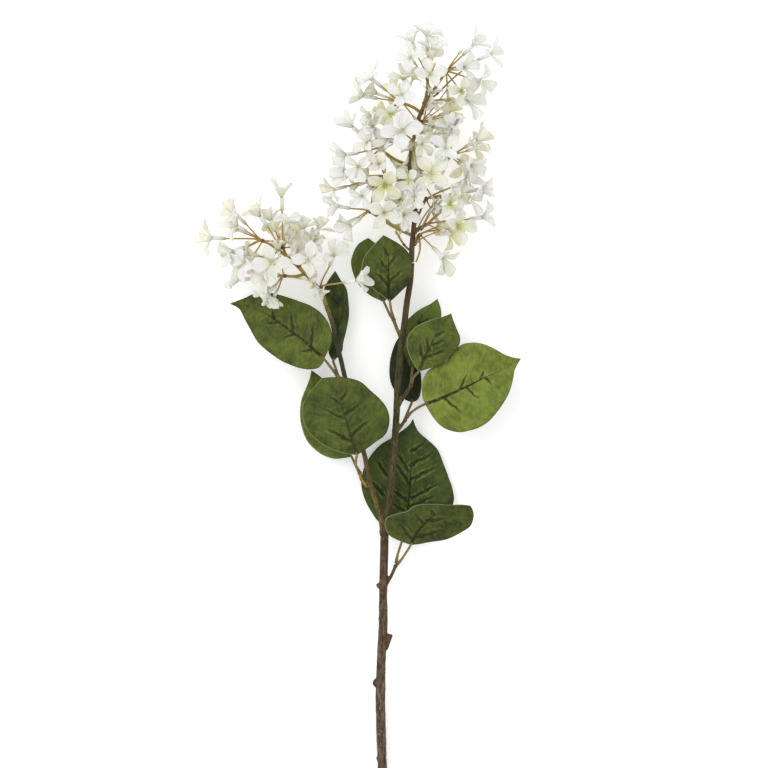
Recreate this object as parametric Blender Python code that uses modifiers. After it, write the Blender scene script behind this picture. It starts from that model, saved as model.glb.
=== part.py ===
"""Lilac stem, cut and lying on a table.

A woody stem forks into two branches. Each branch ends in a head of white four-petalled florets, and
twelve leaves grow in six pairs from short twigs. +Y runs along the stem towards the heads, +Z is up.
"""

import math
import random
from collections import namedtuple

import bmesh
import bpy
from mathutils import Matrix, Vector

# Reading grid of the photograph. One step of it is this long on the real stem, and the frame's
# origin lies on this point of it. Heights are in millimetres above the table.
PIXEL = 0.00065
ORIGIN_X = 359.6
ORIGIN_Y = 411.7
MM = 0.001

# Clearance between two nodes that touch on the real stem.
SEAT_GAP = 0.0004

# A floret: four petals round a throat, on a tube and a thin stalk.
PETAL_REACH = 0.0132
PETAL_MID_REACH = 0.0090
PETAL_MID_ANGLE = math.radians(28)
NOTCH_REACH = 0.0026
THROAT_DEPTH = 0.0012
PETAL_THICKNESS = 0.0009
PETAL_CUP = 0.0014
NECK_DEPTH = 0.0028
NECK_RADIUS = 0.0013
TUBE_LENGTH = 0.0100
TUBE_RADIUS = 0.0009
STALK_RADIUS = 0.0006
FLORET_REACH = 0.024
RING_SIDES = 4

# How far the petals rise from flat, in degrees: drawn between these, and more where a floret
# turns its side to the viewer.
OPENING_RANGE = (6, 26)
SIDE_OPENING = 24

# The knob where a spray's stalks meet, how deep they root in it, and the branchlet's radii.
HUB_RADIUS = 0.0017
ROOT_DEPTH = 0.0009
BRANCHLET_RADII = (0.0011, 0.0009)

# A floret that hangs this close above the table rests on it.
TABLE_REACH = 0.009

# Neighbouring faces that turn less than this count as one plane.
FLAT_ANGLE = math.radians(1.0)

# Leaves: blade thickness and the tube of the petiole, and how finely a blade is cut into rows.
BLADE_THICKNESS = 0.0007
PETIOLE_RADIUS = 0.00092
BLADE_ROWS = 9
BLADE_HALF_COLUMNS = 2

# Swollen nodes of the leaf twigs.
TWIG_RADIUS = 0.0012
BUD_RADIUS = 0.0016

# The stem's routes: grid x, grid y, height, radius in millimetres.
TRUNK = (
    (382.5, 801.0, 2.95, 3.05), (382.3, 768.0, 5.0, 3.0), (381.5, 740.0, 6.4, 3.1),
    (380.6, 712.0, 7.8, 3.2), (380.6, 690.0, 9.0, 3.2), (381.2, 660.0, 10.4, 2.9),
    (383.0, 630.0, 12.0, 2.95), (383.2, 600.0, 13.4, 2.75), (383.6, 575.0, 14.8, 2.75),
    (384.3, 548.0, 16.2, 2.8), (384.6, 530.0, 17.2, 2.8),
)
RIGHT_STEM = (
    (384.4, 536.0, 17.0, 2.5), (386.6, 518.0, 17.9, 2.4), (390.0, 500.0, 18.7, 2.3),
    (391.4, 480.0, 19.6, 2.3), (393.2, 460.0, 20.6, 2.3), (394.8, 440.0, 21.5, 2.3),
    (396.2, 420.0, 22.4, 2.25), (397.0, 400.0, 23.4, 2.2), (397.6, 385.0, 24.2, 2.2),
    (399.4, 365.0, 25.2, 2.15), (401.4, 345.0, 26.2, 2.1), (404.2, 325.0, 27.2, 2.1),
    (407.0, 302.0, 28.6, 2.05), (410.2, 282.0, 30.0, 2.0), (411.4, 263.2, 31.2, 2.0),
)
LEFT_BRANCH = (
    (383.6, 538.0, 16.8, 2.0), (381.4, 520.0, 17.6, 1.8), (378.0, 508.0, 18.1, 1.7),
    (373.6, 494.0, 18.7, 1.7), (369.0, 478.0, 19.3, 1.65), (364.4, 455.0, 20.3, 1.6),
    (358.2, 430.0, 21.4, 1.6), (351.6, 404.0, 22.6, 1.6), (345.2, 379.0, 23.8, 1.6),
    (341.0, 360.0, 24.7, 1.55), (337.0, 345.0, 25.4, 1.5), (333.0, 326.0, 26.3, 1.5),
    (329.0, 313.0, 27.0, 1.5), (326.0, 306.0, 27.4, 1.5),
)

# Knots, side nubs and the cut stub: centre on the grid, height, radii along x, y and z.
KNOTS = (
    ("ring knot", 382.3, 586.6, 13.9, (3.9, 2.7, 3.5)),
    ("left knob", 376.7, 684.5, 9.2, (2.7, 3.4, 2.4)),
    ("low nub", 378.8, 727.0, 7.0, (1.7, 1.5, 1.6)),
    ("dark nub", 380.4, 761.0, 5.4, (2.9, 2.2, 1.9)),
    ("fork collar", 384.2, 533.0, 17.1, (3.3, 3.9, 2.9)),
)
STUB = ((384.5, 650.0, 11.0, 2.0), (387.6, 643.0, 11.8, 1.9), (390.6, 635.5, 12.6, 1.75))

# Leaf twigs: the route from inside the stem to the bud that carries two leaves.
TWIGS = {
    "fork": ((383.0, 590.0, 13.8), (390.0, 579.0, 14.2), (395.5, 567.0, 14.6)),
    "left": ((368.6, 487.0, 19.0), (361.8, 480.5, 19.4), (359.6, 473.0, 19.8)),
    "outer": ((344.6, 381.0, 23.8), (340.4, 378.6, 24.2), (336.8, 374.6, 24.4)),
    "low": ((396.0, 432.0, 21.9), (400.4, 427.0, 22.6), (405.2, 420.0, 23.4)),
    "mid": ((397.4, 407.0, 23.2), (404.6, 395.5, 24.6), (411.0, 385.0, 25.8)),
    "high": ((401.6, 339.0, 26.4), (396.6, 328.0, 27.4), (393.6, 319.6, 28.0)),
}

# A leaf: the twig it grows from, its petiole and midrib from base to tip with heights, its two
# edges between base and tip, how far each edge stands above the midrib, the wave of the edges and
# the depth of the quilting between the side veins, all heights in millimetres.
Leaf = namedtuple("Leaf", "twig petiole midrib left right lift wave quilt")
LEAVES = {
    "leaf_fork_front": Leaf(
        "fork", ((401.5, 560.0, 18.4), (407.4, 551.0, 21.2)),
        ((411.0, 545.0, 23.0), (414.0, 537.5, 27.0), (419.0, 529.0, 31.0), (425.0, 523.0, 34.0),
         (430.0, 517.5, 36.0), (440.0, 512.5, 37.0), (455.0, 508.0, 37.0), (470.5, 505.5, 35.0)),
        ((400.0, 541.0), (389.0, 535.0), (385.0, 526.0), (386.5, 517.5), (396.0, 513.5),
         (407.0, 510.5), (415.0, 505.0), (430.0, 503.6), (450.0, 504.6), (462.0, 504.4)),
        ((420.0, 544.0), (430.0, 542.0), (443.0, 540.0), (452.0, 537.0), (463.0, 531.0),
         (470.0, 526.0), (473.0, 519.0), (473.2, 512.0)),
        (4.0, -5.0), 0.8, 0.3),
    "leaf_fork_back": Leaf(
        "fork", ((397.6, 556.0, 12.8), (400.0, 548.0, 11.6)),
        ((402.5, 541.0, 11.0), (407.0, 520.0, 10.6), (409.0, 500.0, 10.4), (411.0, 470.0, 10.0),
         (412.5, 440.0, 9.6), (413.0, 419.0, 9.0)),
        ((392.0, 530.0), (379.0, 523.0), (368.0, 507.0), (363.0, 495.0), (361.0, 482.0),
         (364.0, 468.0), (370.0, 457.0), (380.0, 445.5), (392.0, 438.0), (402.0, 431.0), (409.5, 425.0)),
        ((415.0, 536.0), (432.0, 528.0), (446.0, 518.0), (454.0, 503.0), (453.0, 490.0),
         (449.0, 478.0), (443.0, 462.0), (438.0, 450.0), (429.0, 441.0), (420.0, 433.5), (416.0, 427.5)),
        (-3.6, -4.0), 0.8, 0.7),
    "leaf_left_front": Leaf(
        "left", ((356.0, 465.5, 24.4), (356.0, 460.0, 26.4)),
        ((357.0, 455.0, 27.4), (352.0, 440.0, 29.4), (348.0, 427.0, 30.6), (344.0, 414.0, 31.4),
         (340.5, 402.0, 31.4), (336.0, 391.0, 30.6), (322.0, 378.0, 28.4)),
        ((345.0, 453.6), (333.0, 450.0), (322.0, 444.0), (312.0, 436.0), (305.0, 426.0), (302.0, 415.0),
         (303.0, 404.5), (308.0, 394.5), (315.0, 386.0)),
        ((362.0, 452.0), (369.0, 447.0), (377.0, 441.0), (384.0, 436.0), (388.4, 428.0), (389.5, 418.0),
         (386.5, 407.5), (379.5, 398.5), (370.0, 390.0), (361.0, 382.0), (349.0, 378.0), (335.0, 377.0)),
        (-2.4, 0.8), 0.7, 0.3),
    "leaf_left_back": Leaf(
        "left", ((355.6, 466.0, 16.6), (353.4, 461.0, 15.2)),
        ((351.5, 457.0, 14.6), (338.0, 438.0, 12.6), (325.0, 415.0, 11.6), (316.0, 392.0, 12.0),
         (311.0, 370.0, 13.0)),
        ((343.0, 458.6), (333.0, 459.0), (320.0, 454.0), (308.0, 443.0), (302.0, 430.0), (299.6, 415.0),
         (301.0, 400.0), (306.0, 387.0), (309.4, 378.0)),
        ((351.0, 446.0), (348.0, 430.0), (342.0, 412.0), (335.0, 396.0), (327.0, 383.0), (318.0, 375.0)),
        (-1.6, -1.6), 0.7, 0.3),
    "leaf_outer_front": Leaf(
        "outer", ((333.0, 370.0, 26.8), (328.6, 364.6, 28.0)),
        ((324.0, 359.0, 28.6), (312.0, 348.0, 29.4), (303.0, 340.0, 29.6), (292.0, 332.0, 29.0),
         (280.0, 323.0, 27.6), (264.0, 312.5, 24.6), (248.0, 306.5, 21.4), (229.5, 303.4, 18.6)),
        ((323.0, 363.0), (318.0, 368.0), (310.0, 369.4), (300.0, 368.2), (291.0, 365.0), (280.0, 360.0),
         (265.0, 349.0), (257.0, 341.0), (250.0, 329.0), (244.0, 318.0), (239.0, 308.6)),
        ((327.6, 352.0), (331.0, 344.0), (332.0, 334.0), (328.0, 322.0), (320.0, 312.0), (310.0, 305.4),
         (300.0, 301.6), (290.0, 298.0), (277.0, 294.2), (265.0, 292.0), (254.0, 293.4), (244.0, 298.0)),
        (-2.6, -1.0), 0.7, 0.3),
    "leaf_outer_back": Leaf(
        "outer", ((335.8, 369.0, 21.0), (334.4, 365.0, 20.0)),
        ((333.0, 361.5, 19.6), (336.5, 345.0, 18.6), (338.0, 325.0, 18.2), (337.0, 300.0, 18.6),
         (335.0, 270.5, 21.0)),
        ((328.4, 352.0), (331.5, 340.0), (331.5, 328.0), (328.0, 314.0), (322.5, 300.0), (323.6, 290.0),
         (327.5, 281.0)),
        ((341.4, 352.0), (343.0, 342.0), (346.0, 330.0), (348.6, 315.0), (348.0, 300.0), (346.0, 288.0),
         (340.6, 280.0)),
        (-6.5, -6.5), 0.5, 0.2),
    "leaf_low_front": Leaf(
        "low", ((411.0, 412.6, 26.0), (418.0, 407.6, 27.6)),
        ((425.0, 404.0, 28.6), (440.0, 398.8, 30.6), (455.0, 392.0, 32.0), (470.0, 385.0, 32.4),
         (483.0, 378.4, 31.6), (496.0, 372.6, 29.8), (509.0, 366.4, 27.6), (521.0, 358.5, 25.6)),
        ((422.6, 398.0), (421.6, 388.0), (423.4, 378.0), (430.0, 369.0), (446.0, 361.4), (455.0, 350.4),
         (463.0, 344.0), (475.0, 342.6), (485.0, 344.6), (495.0, 349.0), (505.0, 354.6), (514.0, 357.6)),
        ((427.0, 407.4), (433.0, 417.0), (441.0, 426.0), (450.0, 430.4), (460.0, 432.2), (470.0, 430.4),
         (480.0, 427.0), (490.0, 420.0), (500.0, 408.0), (508.0, 395.0), (512.4, 382.0), (515.0, 369.0)),
        (-3.0, -2.4), 0.9, 0.35),
    "leaf_low_back": Leaf(
        "low", ((407.6, 412.6, 18.4), (410.0, 407.0, 15.0)),
        ((412.0, 402.5, 13.6), (410.5, 388.0, 11.0), (407.0, 370.0, 9.6), (403.0, 352.0, 9.4),
         (399.0, 337.0, 9.8)),
        ((404.0, 399.0), (395.0, 391.0), (390.2, 380.0), (389.5, 368.0), (391.0, 356.0), (394.8, 344.0)),
        ((418.6, 399.0), (421.4, 388.0), (421.0, 374.0), (417.0, 360.0), (410.0, 347.0)),
        (-2.0, -2.0), 0.5, 0.25),
    "leaf_mid_front": Leaf(
        "mid", ((412.4, 379.6, 28.6), (415.4, 375.0, 30.4)),
        ((419.0, 371.5, 31.4), (423.4, 360.0, 33.4), (428.4, 350.0, 34.6), (433.0, 340.0, 35.0),
         (438.6, 329.0, 34.2), (451.0, 313.5, 31.6)),
        ((414.6, 366.0), (410.2, 358.0), (407.0, 348.0), (407.0, 339.0), (411.0, 331.2), (418.0, 325.4),
         (430.0, 320.0), (442.0, 317.0)),
        ((425.0, 369.6), (436.0, 366.0), (446.0, 361.0), (453.6, 353.0), (459.0, 345.0), (460.0, 337.6),
         (457.0, 330.0), (453.6, 321.6)),
        (0.6, -1.6), 0.6, 0.3),
    "leaf_mid_back": Leaf(
        "mid", ((411.6, 378.6, 22.8), (411.8, 374.0, 21.0)),
        ((412.4, 370.0, 20.4), (412.6, 352.0, 18.6), (415.4, 334.0, 17.8), (424.0, 315.0, 18.0),
         (437.6, 298.6, 19.0)),
        ((406.4, 360.0), (402.8, 346.0), (402.2, 332.0), (406.0, 322.0), (412.0, 315.4), (420.0, 309.2),
         (431.0, 303.4)),
        ((419.6, 363.0), (427.0, 352.0), (434.0, 339.0), (440.0, 325.0), (441.4, 311.0)),
        (-1.6, -1.6), 0.5, 0.3),
    "leaf_high_front": Leaf(
        "high", ((391.8, 312.6, 32.0), (390.6, 307.0, 34.0)),
        ((390.0, 302.0, 35.0), (388.4, 285.0, 36.0), (388.4, 270.0, 36.6), (388.0, 254.0, 37.2),
         (383.4, 235.5, 38.4)),
        ((382.4, 296.4), (375.0, 291.0), (367.4, 283.4), (361.4, 275.0), (361.8, 264.6), (364.0, 257.4),
         (370.0, 249.6), (376.6, 242.4)),
        ((394.4, 298.0), (400.6, 292.0), (407.0, 285.6), (411.0, 277.6), (412.4, 268.0), (411.0, 259.6),
         (407.0, 251.4), (400.0, 245.0), (390.6, 239.4)),
        (2.4, 2.6), 0.6, 0.3),
    "leaf_high_back": Leaf(
        "high", ((389.0, 313.0, 24.6), (386.4, 307.0, 22.8)),
        ((384.0, 302.0, 22.0), (378.0, 287.0, 19.6), (372.0, 270.0, 18.4), (369.0, 254.0, 18.6),
         (368.0, 237.5, 19.6)),
        ((372.0, 296.4), (364.0, 290.0), (357.6, 282.6), (353.0, 273.0), (351.0, 263.0), (352.4, 254.6),
         (358.0, 244.0)),
        ((390.0, 294.0), (393.0, 283.0), (392.0, 271.0), (387.0, 258.0), (379.0, 246.0)),
        (-1.6, -1.6), 0.5, 0.3),
}

# A floret's throat on the grid, the tip of one of its petals, how far it turns towards the viewer
# in degrees (0 lies along the table, 90 looks straight up), its size, and how much higher than the
# rule puts it in millimetres.
Floret = namedtuple("Floret", "throat tip face size rise", defaults=(1.0, 0.0))
# A spray: its hub with the height, the branchlet that leads there, its florets, and the headings in
# degrees from +X of those that face the table, out of sight.
Spray = namedtuple("Spray", "hub branchlet florets hidden")

MAIN_RACHIS = (
    (411.4, 262.5, 31.3, 1.9), (412.0, 246.0, 32.2, 1.8), (414.0, 224.0, 33.2, 1.6),
    (415.2, 204.0, 34.2, 1.5), (412.0, 184.0, 35.2, 1.4), (409.4, 164.0, 36.0, 1.3),
    (412.6, 143.0, 36.8, 1.2), (419.0, 120.0, 37.4, 1.1), (424.6, 102.0, 37.8, 1.0),
    (427.0, 90.0, 38.0, 0.9), (427.4, 79.0, 38.2, 0.9),
)
MAIN_SPRAYS = (
    Spray((427.4, 80.0, 38.2), (), (
        Floret((427, 37), (417, 25), 14), Floret((412, 44), (395, 38), 12),
        Floret((433, 50), (452, 41), 28), Floret((410, 60), (397, 57), 55, 0.9),
        Floret((430, 77), (446, 72), 78, 0.95)), (80,)),
    Spray((446.0, 73.0, 39.0), ((424.0, 104.0, 37.6), (436.0, 87.0, 38.4)), (
        Floret((473, 46), (464, 37), 15), Floret((491, 56), (484, 38), 22),
        Floret((464, 70), (464, 52), 55), Floret((481, 83), (488, 69), 40),
        Floret((461, 94), (471, 97), 75, 0.85)), ()),
    Spray((426.0, 103.0, 39.8), ((422.4, 111.0, 37.6),), (
        Floret((467, 102), (471, 82), 38, 1.2),), ()),
    Spray((421.0, 124.0, 39.0), ((417.6, 126.0, 37.2),), (
        Floret((449, 111), (456, 121), -35, 0.9), Floret((450, 127), (458, 132), 25, 0.7)), (350,)),
    Spray((403.0, 104.0, 38.6), ((421.6, 114.0, 37.4), (413.0, 108.0, 38.0)), (
        Floret((404, 80), (384, 82), 38), Floret((371, 80), (376, 61), 18),
        Floret((363, 97), (353, 89), 15), Floret((402, 97), (388, 93), 80, 0.9),
        Floret((371, 118), (360, 122), 40, 0.9), Floret((391, 117), (391, 106), 70, 0.85)), (120, 200)),
    Spray((412.6, 144.0, 40.0), ((412.6, 150.0, 36.6),), (
        Floret((402, 133), (403, 108), 80, 1.2), Floret((388, 141), (376, 148), 45, 0.9),
        Floret((433, 138), (446, 141), -30, 0.95), Floret((422, 146), (432, 153), 62, 0.85)), (270,)),
    Spray((381.0, 150.0, 36.8), ((409.4, 166.0, 35.8), (395.0, 160.0, 36.6)), (
        Floret((352, 128), (345, 116), 20), Floret((373, 128), (373, 115), 50, 0.9),
        Floret((345, 156), (331, 148), 28), Floret((358, 169), (346, 178), 60, 0.9),
        Floret((367, 144), (357, 151), 52, 0.85)), (150,)),
    Spray((387.0, 177.0, 36.6), ((411.0, 179.0, 35.4), (399.0, 181.0, 36.2)), (
        Floret((347, 177), (328, 172), 25), Floret((334, 190), (324, 196), 8, 0.9),
        Floret((379, 166), (368, 158), 74, 0.9), Floret((385, 187), (397, 172), 80, 1.1),
        Floret((362, 198), (352, 190), 55, 0.85)), ()),
    Spray((450.0, 157.0, 37.6), ((410.6, 172.0, 35.6), (431.0, 168.0, 36.6)), (
        Floret((451, 130), (462, 122), 30), Floret((445, 150), (456, 160), 76, 0.95),
        Floret((477, 141), (479, 129), 18), Floret((471, 167), (484, 173), 40)), (20, 330)),
    Spray((421.0, 180.0, 39.6), ((414.0, 193.0, 34.8),), (
        Floret((408, 182), (398, 190), 60, 0.9), Floret((431, 176), (448, 194), 80, 1.2),
        Floret((399, 201), (390, 192), 50, 0.9), Floret((414, 199), (405, 207), 66, 0.8)), ()),
    Spray((426.0, 200.0, 35.8), ((415.2, 211.0, 33.8), (420.0, 206.0, 34.8)), (
        Floret((466, 181), (478, 171), 30), Floret((480, 190), (493, 190), 12, 0.95),
        Floret((460, 196), (452, 206), 62, 0.9), Floret((471, 200), (479, 213), 34)), (300,)),
    Spray((425.5, 225.0, 35.2), ((413.4, 231.0, 32.8),), (
        Floret((483, 218), (495, 209), 18), Floret((450, 205), (440, 198), 76, 0.9)), (340,)),
    Spray((420.0, 235.0, 34.2), ((412.0, 246.0, 32.0),), (
        Floret((443, 258), (466, 254), 24, 1.05), Floret((458, 228), (458, 246), 62, 1.1)), ()),
    Spray((370.0, 212.0, 34.6), ((412.8, 236.0, 32.6), (392.0, 226.0, 34.0)), (
        Floret((385, 214), (374, 238), 74, 1.1), Floret((350, 227), (344, 250), 30, 1.0, 3.0),
        Floret((338, 207), (326, 200), 22, 0.9, 1.5), Floret((404, 216), (399, 229), 62, 0.9)), ()),
)

SIDE_RACHIS = (
    (325.8, 305.4, 27.5, 1.45), (322.0, 293.0, 28.4, 1.3), (314.0, 283.0, 29.4, 1.2),
    (305.0, 274.0, 30.4, 1.1), (297.0, 266.0, 31.2, 1.0), (287.0, 256.0, 32.0, 0.9),
    (283.0, 247.0, 32.6, 0.9),
)
SIDE_SPRAYS = (
    Spray((263.0, 241.0, 33.0), ((287.0, 256.4, 32.0), (275.0, 248.0, 32.6)), (
        Floret((211, 238), (205, 223), 12, 1.0), Floret((236, 214), (227, 201), 18),
        Floret((237, 226), (219, 224), 36, 0.95), Floret((233, 252), (216, 252), 24)), (200,)),
    Spray((283.0, 248.0, 32.6), (), (
        Floret((260, 216), (253, 203), 20), Floret((282, 197), (270, 191), 16),
        Floret((288, 223), (300, 210), 32)), (60, 110)),
    Spray((299.0, 266.0, 31.6), ((305.0, 274.0, 30.4),), (
        Floret((303, 228), (301, 215), 6, 0.95), Floret((318, 229), (334, 222), 4, 0.95),
        Floret((309, 261), (329, 262), 72)), (80,)),
    Spray((321.0, 287.0, 30.0), ((322.0, 293.6, 28.4),), (
        Floret((334, 256), (325, 243), 44, 1.0), Floret((357, 281), (362, 261), 18, 0.95, 15.0)), ()),
    Spray((278.0, 260.0, 34.6), ((289.0, 258.6, 31.8),), (
        Floret((245, 263), (250, 246), 42), Floret((273, 263), (272, 245), 80, 1.15)), (180,)),
    Spray((285.0, 276.0, 33.0), ((305.0, 274.0, 30.4), (295.0, 276.6, 31.6)), (
        Floret((239, 280), (223, 280), 8, 0.95), Floret((266, 280), (253, 281), 58, 0.95),
        Floret((268, 294), (278, 308), 34, 0.95)), (160,)),
)

HEADS = {
    "main_panicle": (MAIN_RACHIS, MAIN_SPRAYS, 11),
    "side_panicle": (SIDE_RACHIS, SIDE_SPRAYS, 23),
}

# Finishes: colour, roughness.
BARK = ((0.12, 0.09, 0.06, 1.0), 0.85)
GREEN = ((0.07, 0.10, 0.025, 1.0), 0.55)
DARK_GREEN = ((0.03, 0.05, 0.015, 1.0), 0.6)
WHITE = ((0.75, 0.75, 0.66, 1.0), 0.6)


def place(grid_x, grid_y, height):
    """Point in metres for a place on the reading grid and a height in millimetres."""
    return Vector(((grid_x - ORIGIN_X) * PIXEL, (ORIGIN_Y - grid_y) * PIXEL, height * MM))


def catmull(points, amount):
    """Point of a smooth curve through the given points, with amount running from 0 to 1."""
    last = len(points) - 1
    position = min(max(amount, 0.0), 1.0) * last
    index = min(int(position), last - 1)
    t = position - index
    a = points[max(index - 1, 0)]
    b = points[index]
    c = points[index + 1]
    d = points[min(index + 2, last)]
    return 0.5 * ((2 * b) + (c - a) * t + (2 * a - 5 * b + 4 * c - d) * t * t
                  + (3 * b - a - 3 * c + d) * t * t * t)


def even_samples(points, count):
    """Points at equal steps of length along the smooth curve through the given points."""
    fine = [catmull(points, i / 120) for i in range(121)]
    lengths = [0.0]
    for before, after in zip(fine, fine[1:]):
        lengths.append(lengths[-1] + (after - before).length)
    samples = []
    index = 0
    for step in range(count):
        target = lengths[-1] * step / (count - 1)
        while index < 119 and lengths[index + 1] < target:
            index += 1
        span = max(lengths[index + 1] - lengths[index], 1e-9)
        samples.append(fine[index].lerp(fine[index + 1], min((target - lengths[index]) / span, 1.0)))
    return samples


def new_object(name, mesh, collection):
    """Object of that name and mesh, linked to the collection."""
    item = bpy.data.objects.new(name, mesh)
    collection.objects.link(item)
    return item


def evaluated_mesh(item):
    """Mesh of an object with its modifiers or its curve bevel applied."""
    bpy.context.view_layer.update()
    depsgraph = bpy.context.evaluated_depsgraph_get()
    return bpy.data.meshes.new_from_object(item.evaluated_get(depsgraph))


def weld(mesh):
    """Join the loose caps of a converted curve to its sides."""
    cage = bmesh.new()
    cage.from_mesh(mesh)
    bmesh.ops.remove_doubles(cage, verts=cage.verts, dist=0.00001)
    bmesh.ops.recalc_face_normals(cage, faces=cage.faces)
    cage.to_mesh(mesh)
    cage.free()


def tube(name, points, radii, resolution, collection):
    """Closed tube through the points with a radius at each."""
    curve = bpy.data.curves.new(name, "CURVE")
    curve.dimensions = "3D"
    curve.bevel_depth = 1.0
    curve.bevel_resolution = resolution
    curve.use_fill_caps = True
    spline = curve.splines.new("POLY")
    spline.points.add(len(points) - 1)
    for control, point, radius in zip(spline.points, points, radii):
        control.co = (*point, 1.0)
        control.radius = radius
    guide = new_object(name + "_route", curve, collection)
    mesh = evaluated_mesh(guide)
    weld(mesh)
    result = new_object(name, mesh, collection)
    result.matrix_world = guide.matrix_world.copy()
    bpy.data.objects.remove(guide)
    return result


def smooth_route(route, steps):
    """Points and radii of a stem route, with that many steps between the places read."""
    places = [place(x, y, z) for x, y, z, radius in route]
    sizes = [Vector((radius * MM, 0, 0)) for x, y, z, radius in route]
    count = (len(route) - 1) * steps
    points = [catmull(places, i / count) for i in range(count + 1)]
    radii = [catmull(sizes, i / count).x for i in range(count + 1)]
    return points, radii


def ball(name, centre, radii, detail, collection):
    """Small closed knob with its own radius along each axis."""
    cage = bmesh.new()
    bmesh.ops.create_icosphere(cage, subdivisions=detail, radius=1.0)
    for vertex in cage.verts:
        vertex.co = Vector([vertex.co[axis] * radii[axis] for axis in range(3)]) + centre
    mesh = bpy.data.meshes.new(name)
    cage.to_mesh(mesh)
    cage.free()
    return new_object(name, mesh, collection)


def fuse(base, pieces, name, collection, solver):
    """One body from the base and every piece in the collection of pieces, which is then removed."""
    union = base.modifiers.new("union", "BOOLEAN")
    union.operation = "UNION"
    union.operand_type = "COLLECTION"
    union.collection = pieces
    union.solver = solver
    mesh = evaluated_mesh(base)
    for item in list(pieces.objects):
        bpy.data.objects.remove(item)
    bpy.data.collections.remove(pieces)
    bpy.data.objects.remove(base)
    mesh.name = name
    return new_object(name, mesh, collection)


def tidy_mesh(item):
    """Join faces that lie in one plane, cut the mesh into triangles and keep its largest body."""
    cage = bmesh.new()
    cage.from_mesh(item.data)
    bmesh.ops.dissolve_limit(cage, angle_limit=FLAT_ANGLE, verts=cage.verts, edges=cage.edges)
    bmesh.ops.triangulate(cage, faces=cage.faces)
    unseen = set(cage.verts)
    bodies = []
    while unseen:
        stack = [unseen.pop()]
        body = set(stack)
        while stack:
            for edge in stack.pop().link_edges:
                for vertex in edge.verts:
                    if vertex in unseen:
                        unseen.discard(vertex)
                        body.add(vertex)
                        stack.append(vertex)
        bodies.append(body)
    bodies.sort(key=len)
    for body in bodies[:-1]:
        bmesh.ops.delete(cage, geom=list(body), context="VERTS")
    cage.to_mesh(item.data)
    cage.free()


def material(name, finish):
    """Principled material with the given colour and roughness."""
    colour, roughness = finish
    result = bpy.data.materials.new(name)
    result.use_nodes = True
    shader = result.node_tree.nodes["Principled BSDF"]
    shader.inputs["Base Color"].default_value = colour
    shader.inputs["Roughness"].default_value = roughness
    shader.inputs["Metallic"].default_value = 0.0
    result.diffuse_color = colour
    return result


def working_collection(name):
    """Empty collection for pieces that are fused and then removed."""
    result = bpy.data.collections.new(name)
    bpy.context.scene.collection.children.link(result)
    return result


def build_stem(parts):
    """Trunk, fork, both branches, knots, stub and leaf twigs in one grown piece."""
    pieces = working_collection("stem_pieces")
    points, radii = smooth_route(TRUNK, 2)
    base = tube("trunk", points, radii, 3, parts)
    for name, route in (("right_stem", RIGHT_STEM), ("left_branch", LEFT_BRANCH)):
        points, radii = smooth_route(route, 1)
        tube(name, points, radii, 2, pieces)
    stub_points = [place(x, y, z) for x, y, z, radius in STUB]
    tube("stub", stub_points, [radius * MM for x, y, z, radius in STUB], 2, pieces)
    for name, x, y, z, radii in KNOTS:
        ball(name, place(x, y, z), [radius * MM for radius in radii], 2, pieces)
    for name, route in TWIGS.items():
        twig_points = [place(*spot) for spot in route]
        tube("twig_" + name, twig_points, [TWIG_RADIUS * 1.3, TWIG_RADIUS, TWIG_RADIUS], 1, pieces)
        ball("bud_" + name, twig_points[-1], [BUD_RADIUS] * 3, 2, pieces)
    stem = fuse(base, pieces, "woody_stem", parts, "EXACT")
    tidy_mesh(stem)
    stem.data.materials.clear()
    stem.data.materials.append(material("bark", BARK))
    stem.data.shade_smooth()
    stem.data.set_sharp_from_angle(angle=math.radians(50))


def blade_surface(leaf):
    """Open leaf blade, lofted from its midrib to its two edges and cut into triangles."""
    midrib = [place(*spot) for spot in leaf.midrib]
    base = midrib[0]
    tip = midrib[-1]
    spine = even_samples(midrib, BLADE_ROWS + 1)
    edges = []
    for side in (leaf.left, leaf.right):
        flat = [Vector((base.x, base.y, 0))] + [place(x, y, 0) for x, y in side] + [Vector((tip.x, tip.y, 0))]
        edges.append(even_samples(flat, BLADE_ROWS + 1))
    cage = bmesh.new()
    rows = [[cage.verts.new(base)]]
    for row in range(1, BLADE_ROWS):
        along = row / BLADE_ROWS
        swell = math.sin(math.pi * along)
        line = []
        for column in range(-BLADE_HALF_COLUMNS, BLADE_HALF_COLUMNS + 1):
            across = abs(column) / BLADE_HALF_COLUMNS
            side = 0 if column < 0 else 1
            edge = edges[side][row]
            point = spine[row].lerp(Vector((edge.x, edge.y, spine[row].z)), across)
            lift = leaf.lift[side] * across ** 1.4 * swell
            wave = leaf.wave * across ** 2 * swell * math.sin(5 * math.pi * along + side * 1.7)
            quilt = leaf.quilt * math.sin(math.pi * across) * swell * math.cos(9 * math.pi * along)
            point.z += (lift + wave + quilt) * MM
            line.append(cage.verts.new(point))
        rows.append(line)
    rows.append([cage.verts.new(tip)])
    for before, after in zip(rows, rows[1:]):
        if len(before) == 1:
            for a, b in zip(after, after[1:]):
                cage.faces.new((before[0], b, a))
        elif len(after) == 1:
            for a, b in zip(before, before[1:]):
                cage.faces.new((a, b, after[0]))
        else:
            for a, b, c, d in zip(before, before[1:], after[1:], after):
                cage.faces.new((a, b, c, d))
    bmesh.ops.triangulate(cage, faces=cage.faces)
    mesh = bpy.data.meshes.new("blade")
    cage.to_mesh(mesh)
    cage.free()
    return mesh


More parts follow.
